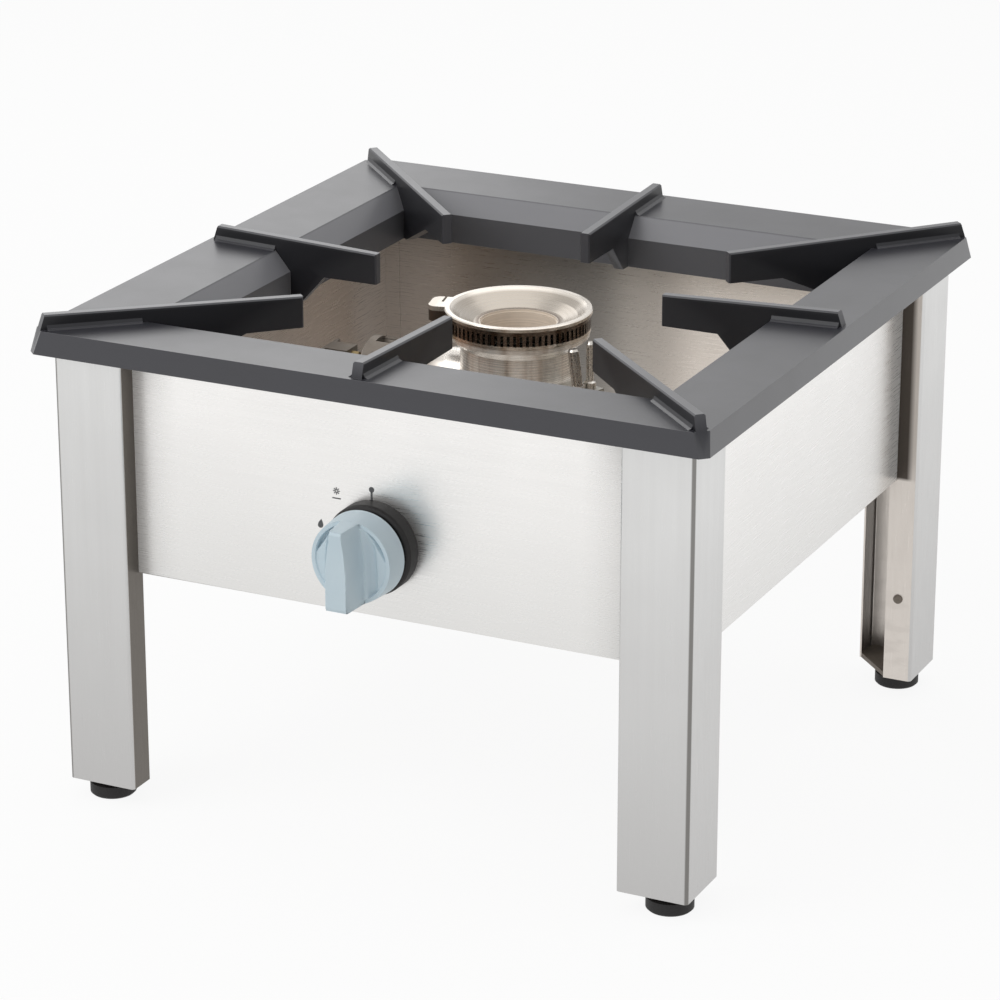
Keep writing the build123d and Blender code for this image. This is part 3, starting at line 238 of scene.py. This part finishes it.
def panel_inside_shade(tree, place, _):
    """Painted shade on the inner faces: taupe, a bluish grey middle and a straw-grey side, in soft upright
    bands.
    """
    first, last = -260, 260
    share = add(tree, RANGE, (place["X"], first * MM, last * MM, 0.0, 1.0), 0)
    ramp = add(tree, "ShaderNodeValToRGB", (share,))
    ramp.color_ramp.interpolation = "B_SPLINE"
    stops = (
        (-250, "#D2C8BF"), (-150, "#A69D95"), (-85, "#827E7A"), (-40, "#8B8782"), (-12, "#C8C1B9"),
        (20, "#BCB4AC"), (55, "#EFE5DB"), (250, "#E4DCD3"))
    points = ramp.color_ramp.elements
    while len(points) < len(stops):
        points.new(0.5)
    for point, (at, tone) in zip(points, stops):
        point.position = (at - first) / (last - first)
        point.color = colour(tone)
    return ramp.outputs["Color"]


def leg_inside_shade(tree, place, facing):
    """Painted shade on a leg's inner faces: light beige where they face front or back, dull grey-brown where
    they face sideways, brown patches low on the rear legs.
    """
    along_y = add(tree, MATH, (facing["Y"],), 0, operation="ABSOLUTE")
    blots = grain(tree, 38.0, (1, 1, 0.4), detail=4.0, shift=(7, 2, 4))
    brown_patch = add(tree, RANGE, (blots, 0.47, 0.56, 0.0, 0.85), 0)
    low = add(tree, RANGE, (place["Z"], *LOW_PATCH_HEIGHTS, 1.0, 0.0), 0)
    rear = add(tree, MATH, (place["Y"], 0.0), 0, operation="GREATER_THAN")
    deep = add(tree, RANGE, (along_y, 0.2, 0.8, 1.0, 0.1), 0)
    for share in (low, rear, deep):
        brown_patch = add(tree, MATH, (brown_patch, share), 0, operation="MULTIPLY")
    # painted shade: darker on a flange that faces sideways than on one facing front or back
    flange_shade = add(tree, MIX, {0: along_y, 6: "#6E6963", 7: "#D9D2CB"}, 2, data_type="RGBA")
    return add(tree, MIX, {0: brown_patch, 6: flange_shade, 7: "#4A3A2D"}, 2, data_type="RGBA")


def cast_enamel():
    """Satin black-grey enamel on cast iron: pebbled skin of 1 to 2 mm, duller patches, painted pale
    highlights on the edges.

    The glassy top coat lights up at a flat angle and stays dark when looked at squarely.
    It is set heavier on top faces and on the rim's outer sides to brighten them, and left off the
    fingers' flanks, which carry painted shade; the walls and slope of the opening carry painted light.
    """
    material, tree = empty_finish("satin_enamel_on_cast_iron")
    pebble = grain(tree, 1.6)
    patches = grain(tree, 45.0, shift=(2, 5, 9))
    edge_sharpness = add(tree, "ShaderNodeNewGeometry", take="Pointiness")
    duller = add(tree, RANGE, (patches, *MIDDLE, 0.0, 1.0), 0)
    # painted highlight along sharp edges
    edge_highlight = add(tree, RANGE, (edge_sharpness, 0.52, 0.62, 0.0, 0.6), 0)
    _, place = place_of(tree)
    _, facing = facing_of(tree)
    top = add(tree, MATH, (facing["Z"],), 0, operation="ABSOLUTE")
    # how far out a spot lies, as a square round the middle
    arms = [add(tree, MATH, (place[axis],), 0, operation="ABSOLUTE") for axis in "XY"]
    reach = add(tree, MATH, arms, 0, operation="MAXIMUM")
    # the rim's left and right outer sides
    outermost = add(tree, RANGE, (reach, *RIM_SIDE, 0.0, 1.0), 0)
    sideways = add(tree, MATH, (facing["X"],), 0, operation="ABSOLUTE")
    sides = add(tree, MATH, (outermost, sideways), 0, operation="MULTIPLY")
    # the upright walls and the slope of the opening, where they look at its middle
    beyond = add(tree, RANGE, (reach, *WELL_WALL, 0.0, 0.6), 0)
    before = add(tree, RANGE, (reach, *WELL_SLOPE_END, 1.0, 0.0), 0)
    arms = [add(tree, MATH, (place[axis], facing[axis]), 0, operation="MULTIPLY") for axis in "XY"]
    radial = add(tree, MATH, arms, 0, operation="ADD")
    radial = add(tree, MATH, (radial,), 0, operation="ABSOLUTE")
    inward = add(tree, MATH, (radial, reach), 0, operation="DIVIDE")
    walls = add(tree, MATH, (beyond, before), 0, operation="MULTIPLY")
    looking = add(tree, RANGE, (inward, 0.3, 0.6, 0.0, 1.0), 0)
    walls = add(tree, MATH, (walls, looking), 0, operation="MULTIPLY")
    # painted light on the walls and slope of the opening, paler where they face up
    slope = add(tree, RANGE, (top, 0.3, 0.6, 0.0, 1.0), 0)
    slope_light = add(tree, MIX, {0: slope, 6: "#737376", 7: "#9C9CA0"}, 2, data_type="RGBA")
    # painted shade on the fingers' flanks, which look neither up nor at the middle
    squarest = add(tree, MATH, (top, inward), 0, operation="MAXIMUM")
    flanks = add(tree, RANGE, (squarest, 0.3, 0.6, 0.55, 0.0), 0)
    coats = ((duller, "#27272C"), (edge_highlight, "#8C8C90"), (walls, slope_light), (flanks, "#19191A"))
    # coat set heavier on top faces and on the rim's outer sides, which brightens them, and none on the flanks
    gloss = add(tree, RANGE, (top, 0.3, 0.9, 0.25, 0.6), 0)
    gloss = add(tree, MATH, (gloss, sides), 0, operation="MAXIMUM")
    open_share = add(tree, MATH, (1.0, flanks), 0, operation="SUBTRACT")
    gloss = add(tree, MATH, (gloss, open_share), 0, operation="MULTIPLY")
    rough = add(tree, RANGE, (patches, *MIDDLE, 0.35, 0.39), 0)
    relief = add(tree, "ShaderNodeBump", {
        "Height": pebble, "Distance": 0.12 * MM, "Strength": 0.3}, "Normal")
    return shaded(material, "#2A2A30", coats, rough, {
        "Specular IOR Level": 0.25, "Coat Weight": gloss, "Coat IOR": 1.42, "Coat Roughness": 0.3,
        "Normal": relief})


def turned_metal(name, tone, dark, roughness, metal=1.0):
    """Bare metal as it comes from tool or mould: slight cloudiness, fine grain and a soft glint.

    `metal` below 1 stands for a dull film of oil and dust on it.
    """
    material, tree = empty_finish(name)
    skin = grain(tree, 1.2, detail=4.0)
    clouds = grain(tree, 22.0, shift=(4, 1, 8))
    darker = add(tree, RANGE, (clouds, *MIDDLE, 0.0, 1.0), 0)
    rough = add(tree, RANGE, (skin, *MIDDLE, roughness - 0.05, roughness + 0.08), 0)
    relief = add(tree, "ShaderNodeBump", {
        "Height": skin, "Distance": 0.02 * MM, "Strength": 0.4}, "Normal")
    return shaded(material, tone, [(darker, dark)], rough, {"Metallic": metal, "Normal": relief})


def crown_heat_and_shade(tree, place, radius, streaks):
    """The crown's coats: flame ports browned by heat, painted reflection darkening the dish inside its edge,
    a dark brown ring round its hole.
    """
    low, high = PORTS
    above = add(tree, RANGE, (place["Z"], low, low + PORTS_FADE, 0.0, 1.0), 0)
    below = add(tree, RANGE, (place["Z"], high - PORTS_FADE, high, 1.0, 0.0), 0)
    outer = add(tree, RANGE, (radius, *PORT_WALL, 0.0, 1.0), 0)
    burnt = add(tree, RANGE, (streaks, 0.35, 0.6, 1.0, 0.8), 0)
    for share in (above, below, outer):
        burnt = add(tree, MATH, (burnt, share), 0, operation="MULTIPLY")
    # painted reflection: the dish darkened inside its edge
    dish = add(tree, RANGE, (radius, *DISH_EDGE, 0.85, 0.0), 0)
    hole_ring = add(tree, RANGE, (radius, *HOLE_RING, 0.8, 0.0), 0)
    return [(burnt, "#4E3E32"), (dish, "#9F978D"), (hole_ring, "#5E4A3B")]


def turned_casting(name, tone, dark, crown=False):
    """Machined aluminium casting: turning grooves round its axis, and upright brown streaks of painted
    reflection.

    The crown bears marks of heat, painted reflection on its dish and a dark ring round its hole; the body
    keeps its dull cast skin further out.
    Both have painted light on the wall inside their hole.
    """
    material, tree = empty_finish(name)
    spot, place = place_of(tree)
    _, facing = facing_of(tree)
    level = add(tree, VECTOR, (spot, (1, 1, 0)), 0, operation="MULTIPLY")
    radius = add(tree, VECTOR, (level,), "Value", operation="LENGTH")
    # the tool's feed is finer than 0.2 mm; drawn at 0.8 mm so that it shows
    section = add(tree, "ShaderNodeCombineXYZ", (radius, place["Z"]), 0)
    grooves = add(tree, "ShaderNodeTexNoise", {
        "Vector": section, "Scale": 1.0 / (0.8 * MM), "Detail": 2.0}, "Fac")
    turn = add(tree, MATH, (place["Y"], place["X"]), 0, operation="ARCTAN2")
    arms = [add(tree, MATH, (turn,), 0, operation=wave) for wave in ("COSINE", "SINE")]
    circle = add(tree, "ShaderNodeCombineXYZ", arms, 0)
    streaks = add(tree, "ShaderNodeTexNoise", {"Vector": circle, "Scale": 5.0, "Detail": 3.0}, "Fac")
    flat = add(tree, MATH, (facing["Z"],), 0, operation="ABSOLUTE")
    upright = add(tree, RANGE, (flat, 0.2, 0.8, 1.0, 0.0), 0)
    # painted reflection: brown upright streaks on the upright faces
    brown = add(tree, RANGE, (streaks, 0.44, 0.64, 0.0, 0.6), 0)
    brown = add(tree, MATH, (brown, upright), 0, operation="MULTIPLY")
    clouds = grain(tree, 18.0, shift=(4, 1, 8))
    coats = [(add(tree, RANGE, (clouds, *MIDDLE, 0.0, 0.5), 0), dark), (brown, "#9C8B7A")]
    raw = add(tree, RANGE, (radius, *RAW_SKIN, 0.0, 1.0), 0)
    throat = add(tree, RANGE, (radius, *THROAT, 1.0, 0.0), 0)
    if crown:
        coats += crown_heat_and_shade(tree, place, radius, streaks)
        metal = add(tree, RANGE, (throat, *MIDDLE, 1.0, 0.1), 0)
    else:
        coats.append((raw, "#857D74"))
        metal = add(tree, RANGE, (throat, *MIDDLE, 0.6, 0.1), 0)
    # painted light inside the hole: its wall drawn pale, with little metal
    coats.append((throat, "#E4D8CA"))
    grooved = add(tree, RANGE, (grooves, *MIDDLE, 0.2, 0.32), 0)
    coarse = add(tree, MATH, (raw, 0.22), 0, operation="MULTIPLY")
    rough = add(tree, MATH, (grooved, coarse), 0, operation="ADD")
    relief = add(tree, "ShaderNodeBump", {
        "Height": grooves, "Distance": 0.02 * MM, "Strength": 0.3}, "Normal")
    return shaded(material, tone, coats, rough, {"Metallic": metal, "Normal": relief})


def moulded(name, tone, dark, roughness, period, depth):
    """Moulded plastic: even colour with faint flow shading and a fine spark-eroded texture."""
    material, tree = empty_finish(name)
    texture = grain(tree, period, detail=2.0)
    flow = grain(tree, 30.0, detail=2.0, shift=(1, 6, 3))
    darker = add(tree, RANGE, (flow, *MIDDLE, 0.0, 1.0), 0)
    rough = add(tree, RANGE, (texture, *MIDDLE, roughness - 0.05, roughness + 0.07), 0)
    relief = add(tree, "ShaderNodeBump", {
        "Height": texture, "Distance": depth * MM, "Strength": 0.4}, "Normal")
    return shaded(material, tone, [(darker, dark)], rough, {"IOR": 1.5, "Normal": relief})


def printed_ink():
    """Screen-printed grey ink: matt, a little thin in places."""
    material, tree = empty_finish("screen_printed_ink")
    thin = grain(tree, 0.9, detail=2.0)
    worn = add(tree, RANGE, (thin, 0.5, 0.75, 0.0, 0.5), 0)
    rough = add(tree, RANGE, (thin, *MIDDLE, 0.5, 0.65), 0)
    return shaded(material, "#57585A", [(worn, "#8C8D8F")], rough, {"IOR": 1.45})


PANEL_SPAN = (PANEL_FOOT, SHEET_TOP)
LEG_SPAN = (SHEET_FOOT, SHEET_TOP)
FINISHES = {
    "cast_iron": cast_enamel(),
    "stainless_sheet": brushed_sheet("brushed_stainless_sheet", ("#FFFDFB", "#E4E3E1"), PANEL_SPAN,
                                     (40, 40, 1), panel_inside_shade),
    "black_plastic": moulded("black_moulded_nylon", "#141111", "#0E0C0C", 0.6, 1.0, 0.04),
    "zinc_steel": turned_metal("zinc_plated_steel", "#C9C6BF", "#B3AFA6", 0.32),
    "burner_alloy": turned_casting("machined_burner_casting", "#F4EFE8", "#E2DBD2"),
    "stainless_small": turned_metal("turned_stainless", "#CFCBC5", "#BDB8B1", 0.26),
    "brass": turned_metal("dulled_brass", "#A08E68", "#8C7B59", 0.40),
    "nickel_steel": turned_metal("nickel_plated_tube", "#D2D0CB", "#BFBCB6", 0.25),
    "copper_alloy": turned_metal("soft_copper_tube", "#D39A72", "#BC8159", 0.30),
    "knob_plastic": moulded("blue_grey_moulded_abs", "#CBDBE3", "#C5D6DF", 0.42, 0.8, 0.03),
}
LEG_SHEET = brushed_sheet("brushed_stainless_leg", ("#E4E4E3", "#C1C0BF"), LEG_SPAN, (1, 1, 40),
                          leg_inside_shade, 0.33, fold=0.8)
CROWN_METAL = turned_casting("machined_crown_casting", "#DAD3CA", "#CEC7BD", crown=True)
AGED_STEEL = turned_metal("oil_darkened_steel", "#857C72", "#766D64", 0.55, metal=0.35)
AGED_PARTS = ("leg_screws", "air_shutter", "shutter_screw", "injector_holder", "foot_plate_front_left",
              "foot_plate_front_right", "foot_plate_rear_right", "foot_plate_rear_left")
OWN_FINISH = {"burner_crown": CROWN_METAL, **dict.fromkeys(AGED_PARTS, AGED_STEEL)}


def dress(thing, material):
    """Give an object one material in place of what it has."""
    thing.data.materials.clear()
    thing.data.materials.append(material)


for name, node in NODES.items():
    if name.startswith(("leg_front", "leg_rear")):
        dress(node, LEG_SHEET)
    else:
        dress(node, OWN_FINISH.get(name) or FINISHES[SLOT_OF[name]])


# ---------------------------------------------------------------- pieces
def brought_in(name, data):
    """A new object in the scene."""
    thing = bpy.data.objects.new(name, data)
    bpy.context.scene.collection.objects.link(thing)
    return thing


def mesh_of(name, shape):
    """A mesh made of a worked shape, which is then let go."""
    mesh = bpy.data.meshes.new(name)
    shape.to_mesh(mesh)
    shape.free()
    return mesh


def smooth_below(mesh, degrees):
    """Shade a mesh as one smooth surface, but for edges that turn by more than this."""
    mesh.shade_smooth()
    mesh.set_sharp_from_angle(angle=math.radians(degrees))


def make_plain(piece):
    """Turn a piece with modifiers into a plain mesh without them."""
    bpy.context.view_layer.update()
    shape = piece.evaluated_get(bpy.context.evaluated_depsgraph_get())
    result = bpy.data.meshes.new_from_object(shape)
    piece.modifiers.clear()
    piece.data = result


def settle(piece, body, material):
    """Dress a finished piece, and tell which body it rides on."""
    dress(piece, material)
    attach(piece, body)


def rounded_pan_support(node="pan_support", width=1.2, turn=12):
    """The casting with its edges that turn by more than `turn` degrees rounded by `width` millimetres."""
    shape = bmesh.new()
    shape.from_mesh(NODES[node].data)
    bmesh.ops.remove_doubles(shape, verts=shape.verts, dist=0.01 * MM)
    bmesh.ops.dissolve_limit(shape, angle_limit=math.radians(1.0), verts=shape.verts,
                             edges=shape.edges, delimit={"NORMAL"})
    mesh = mesh_of("pan_support_rounded", shape)
    smooth_below(mesh, turn)
    piece = brought_in("pan_support_rounded", mesh)
    bevel = piece.modifiers.new("edge", "BEVEL")
    bevel.width = width * MM
    bevel.segments = 2
    bevel.limit_method = "ANGLE"
    bevel.angle_limit = math.radians(turn)
    bevel.harden_normals = True
    make_plain(piece)
    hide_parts(node)
    settle(piece, BODY_OF[node], FINISHES[SLOT_OF[node]])


rounded_pan_support()


# the knob: a disc with a raised rim, two scoops at its pointer end and a grip that narrows upwards;
# its own measures are in millimetres from its axis, or in front of its back
KNOB_LOW, KNOB_HIGH = (Vector(c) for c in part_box("knob"))
KNOB_RADIUS = (KNOB_HIGH.x - KNOB_LOW.x) / 2 - 0.1 * MM
KNOB_AXIS = (KNOB_LOW.z + KNOB_HIGH.z) / 2
KNOB_DEPTH = (KNOB_HIGH.y - KNOB_LOW.y) / MM - 0.1      # from the back to the grip's crest
SKIRT = 22.0             # from the back to the top of the raised rim
KNOB_RIM = 3.0           # width of the raised rim
FRONT_LESS = 1.6         # the front is this much smaller in radius than the back
FACE_DROP = 1.0          # the face lies this far below the rim
SCOOP_DEPTH = 4.2
SCOOP_START = 27.0       # distance of a scoop's edge from the axis, along its slanted way out
GROOVE_DEPTH = 2.4       # channels along both sides of the grip
FILLET_RISE = 2.2        # the face climbs this much to the grip's foot
GRIP_HALF = 32.8         # half the grip's length
GRIP_WIDE = 9.4          # half its width at the lower end
GRIP_EASE = 1.2          # its crest falls this much at its ends


def step(value, low, high):
    """0 below `low`, 1 above `high` and a smooth rise between them."""
    t = min(1.0, max(0.0, (value - low) / (high - low)))
    return t * t * (3 - 2 * t)


def grip_side(up):
    """Half the grip's width at a height above the knob's axis: narrower at its upper end."""
    return GRIP_WIDE - 0.6 * step(up, -10, 10) - 3.2 * step(up, 4, 32)


def knob_rise(across, up, radius):
    """How far the knob's front stands off its back, in millimetres."""
    away = abs(across) - grip_side(up)
    reach = math.hypot(across, up)
    face = SKIRT - FACE_DROP
    wing = 0.82 * abs(across) + 0.57 * up - SCOOP_START
    face -= SCOOP_DEPTH * step(wing, -0.8, 1.6)
    groove = GROOVE_DEPTH * step(away, 4.5, 9.0) * (1 - step(away, 11.0, 13.5)) * (1 - step(up, 12, 26))
    face += FILLET_RISE * (1 - step(away, 3.0, 7.5)) - groove
    face += (SKIRT - face) * step(reach, radius - KNOB_RIM - 1.0, radius - KNOB_RIM)
    crest = KNOB_DEPTH - GRIP_EASE * step(abs(up), GRIP_HALF - 3.5, GRIP_HALF)
    flank = 1 - step(away, -0.6, 2.6)
    ends = 1 - step(abs(up), GRIP_HALF - 0.4, GRIP_HALF + 0.9)
    return face + (crest - face) * flank * ends


def knob_piece(rows=120, cells=132):
    """Rows of points across the disc, closed by a skirt and a hollow back."""
    wide = KNOB_RADIUS / MM
    front = wide - FRONT_LESS
    shape = bmesh.new()
    grid = []
    for i in range(rows + 1):
        up = -front * math.cos(math.pi * i / rows)
        half = math.sqrt(max(front * front - up * up, 0.0))
        line = []
        for j in range(cells + 1):
            across = -half * math.cos(math.pi * j / cells)
            line.append(shape.verts.new((across * MM, -knob_rise(across, up, front) * MM, up * MM)))
        grid.append(line)
    for low, high in zip(grid, grid[1:]):
        for a, b, c, d in zip(low, low[1:], high[1:], high):
            shape.faces.new((a, b, c, d))
    bmesh.ops.remove_doubles(shape, verts=shape.verts, dist=0.02 * MM)
    edge = [e for e in shape.edges if e.is_boundary]
    # (radius, distance in front of the back) down the skirt, round its foot and into the hollow
    hollow = wide - KNOB_RIM
    for radius, stand in ((wide - 0.9, SKIRT - 6.0), (wide, 0.6), (wide - 0.6, 0.0), (hollow, 0.0),
                          (hollow - 0.5, 9.0)):
        grown = bmesh.ops.extrude_edge_only(shape, edges=edge)["geom"]
        for v in (g for g in grown if isinstance(g, bmesh.types.BMVert)):
            scale = radius * MM / math.hypot(v.co.x, v.co.z)
            v.co = Vector((v.co.x * scale, -stand * MM, v.co.z * scale))
        edge = [g for g in grown if isinstance(g, bmesh.types.BMEdge)]
    bmesh.ops.contextual_create(shape, geom=edge)
    bmesh.ops.translate(shape, verts=shape.verts, vec=(0, KNOB_HIGH.y - 0.05 * MM, KNOB_AXIS))
    bmesh.ops.recalc_face_normals(shape, faces=shape.faces)
    mesh = mesh_of("grip_knob", shape)
    smooth_below(mesh, 40)
    piece = brought_in("grip_knob", mesh)
    settle(piece, BODY_OF["knob"], FINISHES[SLOT_OF["knob"]])
    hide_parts("knob")


knob_piece()


# dial marks on the front panel: off tick, spark and flame
INK = printed_ink()
INK_THICK = 0.15 * MM
INK_ROOT = 0.02 * MM     # the ink starts this far inside the panel's face


def mark(name, outlines):
    """Flat printed shapes: closed outlines of (x, z) millimetres on the panel's face."""
    shape = bmesh.new()
    for outline in outlines:
        back = [shape.verts.new((x * MM, PANEL_FACE + INK_ROOT, z * MM)) for x, z in outline]
        front = [shape.verts.new((x * MM, PANEL_FACE - INK_THICK, z * MM)) for x, z in outline]
        shape.faces.new(back)
        shape.faces.new(front[::-1])
        for a, b, c, d in zip(back, back[1:] + back[:1], front[1:] + front[:1], front):
            shape.faces.new((a, b, c, d))
    bmesh.ops.recalc_face_normals(shape, faces=shape.faces)
    settle(brought_in(name, mesh_of(name, shape)), "frame", INK)


def ring_of(x, z, radius, count=20):
    """A round outline."""
    turns = [2 * math.pi * i / count for i in range(count)]
    return [(x + radius * math.cos(turn), z + radius * math.sin(turn)) for turn in turns]


def bar_of(x, z, width, height):
    """A rectangular outline round a middle point."""
    return [(x + sx * width / 2, z + sz * height / 2) for sx, sz in ((-1, -1), (1, -1), (1, 1), (-1, 1))]


def flame_of(x, z, tall, count=28):
    """A small flame: round below, with a tip that bends to one side."""
    points = []
    for i in range(count):
        turn = 2 * math.pi * i / count
        height = 0.5 * (1 - math.cos(turn))
        width = 0.42 * math.sin(turn) * (1 - height) ** 0.55
        points.append((x + tall * (width + 0.10 * height ** 2), z + tall * (height - 0.5)))
    return points


def spark_mark(x, z, rays=8, inner=0.7, outer=3.0, width=0.8):
    """Short strokes round a point, set out by a tree of geometry nodes; sizes in millimetres."""
    tree = bpy.data.node_groups.new("spark_rays", "GeometryNodeTree")
    face = tree.interface
    face.new_socket("Geometry", in_out="OUTPUT", socket_type="NodeSocketGeometry")
    sizes = {"Middle": (inner + outer) / 2 * MM, "Length": (outer - inner) * MM,
             "Width": width * MM, "Thickness": INK_THICK}
    count = face.new_socket("Rays", in_out="INPUT", socket_type="NodeSocketInt")
    wanted = {count.identifier: rays}
    for label, size in sizes.items():
        socket = face.new_socket(label, in_out="INPUT", socket_type="NodeSocketFloat")
        wanted[socket.identifier] = size
    given = add(tree, "NodeGroupInput").outputs
    circle = add(tree, "GeometryNodeMeshCircle", {"Vertices": given["Rays"], "Radius": given["Middle"]}, 0)
    size = add(tree, "ShaderNodeCombineXYZ", (given["Length"], given["Width"], given["Thickness"]), 0)
    stroke = add(tree, "GeometryNodeMeshCube", {"Size": size}, "Mesh")
    spot = add(tree, "GeometryNodeInputPosition", take=0)
    turn = add(tree, "FunctionNodeAlignEulerToVector", {"Vector": spot}, 0, axis="X")
    set_out = add(tree, "GeometryNodeInstanceOnPoints", {
        "Points": circle, "Instance": stroke, "Rotation": turn}, 0)
    moved = add(tree, "GeometryNodeTransform", {
        "Geometry": set_out, "Rotation": (math.pi / 2, 0, 0),
        "Translation": (x * MM, PANEL_FACE - INK_THICK / 2, z * MM)}, 0)
    real = add(tree, "GeometryNodeRealizeInstances", {"Geometry": moved}, 0)
    inked = add(tree, "GeometryNodeSetMaterial", {"Geometry": real, "Material": INK}, 0)
    add(tree, "NodeGroupOutput", (inked,))
    piece = brought_in("spark_mark", bpy.data.meshes.new("spark_mark"))
    layout = piece.modifiers.new("rays", "NODES")
    layout.node_group = tree
    for identifier, value in wanted.items():
        layout[identifier] = value
    make_plain(piece)
    settle(piece, "frame", INK)


mark("off_mark", [ring_of(x=-3.0, z=304.2, radius=2.3), bar_of(x=-3.0, z=295.0, width=1.7, height=14.4)])
mark("spark_bar", [bar_of(x=-33.7, z=292.4, width=7.4, height=1.0)])
mark("flame_mark", [flame_of(x=-48.2, z=269.4, tall=7.4)])
spark_mark(x=-33.7, z=298.4)


# ---------------------------------------------------------------- floor, light and camera
WHITE = "#FFFFFF"


def white_where_seen(tree, share):
    """`share` where the camera, a reflection or a clear material looks, and 0 for all other light."""
    path = add(tree, "ShaderNodeLightPath").outputs
    seen = path["Is Camera Ray"]
    for name in ("Is Glossy Ray", "Is Transmission Ray"):
        seen = add(tree, MATH, (seen, path[name]), 0, operation="MAXIMUM")
    return add(tree, MATH, (seen, share), 0, operation="MULTIPLY")


def floor_finish(share=0.91):
    """Pale studio floor: matt, shown near white to the eye and in reflections, with the soft shadow kept."""
    material, tree = empty_finish("pale_studio_floor")
    speckle = add(tree, RANGE, (grain(tree, 3.0), *MIDDLE, 0.0, 1.0), 0)
    pale = add(tree, MIX, {0: speckle, 6: "#F4F4F3", 7: "#F1F1F0"}, 2, data_type="RGBA")
    matt = add(tree, "ShaderNodeBsdfDiffuse", {"Color": pale}, 0)
    glow = add(tree, "ShaderNodeEmission", {"Color": WHITE, "Strength": 1.0}, 0)
    mixed = add(tree, "ShaderNodeMixShader", (white_where_seen(tree, share), matt, glow), 0)
    add(tree, "ShaderNodeOutputMaterial", {"Surface": mixed})
    return material


def make_floor(half=6.0):
    """One flat sheet under the feet."""
    corners = [(-half, -half, 0), (half, -half, 0), (half, half, 0), (-half, half, 0)]
    mesh = bpy.data.meshes.new("floor")
    mesh.from_pydata(corners, [], [(0, 1, 2, 3)])
    floor = brought_in("floor", mesh)
    dress(floor, floor_finish())


def make_world(level=0.46):
    """White to the camera and in reflections, a plain soft light for everything else."""
    world = bpy.data.worlds.new("studio")
    bpy.context.scene.world = world
    world.use_nodes = True
    tree = world.node_tree
    tree.nodes.clear()
    strength = add(tree, MATH, (white_where_seen(tree, 1.0 - level), level), 0, operation="ADD")
    sky = add(tree, "ShaderNodeBackground", {"Color": WHITE, "Strength": strength}, 0)
    add(tree, "ShaderNodeOutputWorld", {"Surface": sky})


def lamp(name, place, aim, size, power):
    """A square soft box that points at a place."""
    light = bpy.data.lights.new(name, "AREA")
    light.size = size
    light.energy = power
    holder = brought_in(name, light)
    holder.location = place
    holder.rotation_euler = (Vector(aim) - Vector(place)).to_track_quat("-Z", "Y").to_euler()
    holder.visible_camera = False


def make_camera(place, yaw, pitch, lens):
    """The photograph's viewing point: in front, to the right and about 20 degrees above."""
    camera = bpy.data.cameras.new("camera")
    camera.sensor_width = 36.0
    camera.lens = lens
    camera.clip_end = 30.0
    holder = brought_in("camera", camera)
    forward = Vector((math.sin(yaw) * math.cos(pitch), math.cos(yaw) * math.cos(pitch), -math.sin(pitch)))
    holder.location = place
    holder.rotation_euler = forward.to_track_quat("-Z", "Y").to_euler()
    bpy.context.scene.camera = holder


make_floor()
make_world()
lamp("key", place=(-1.6, -2.2, 2.6), aim=(0, 0, 0.3), size=2.6, power=48)
lamp("overhead", place=(0.3, 0.6, 3.0), aim=(0, 0, 0.3), size=3.2, power=22)
lamp("back_left", place=(-1.7, 2.0, 1.7), aim=(0, 0, 0.35), size=1.4, power=6.5)
make_camera(place=(1.31828, -2.75697, 1.33107), yaw=-0.451, pitch=0.351, lens=140.68)
bpy.context.scene.view_settings.view_transform = "Standard"
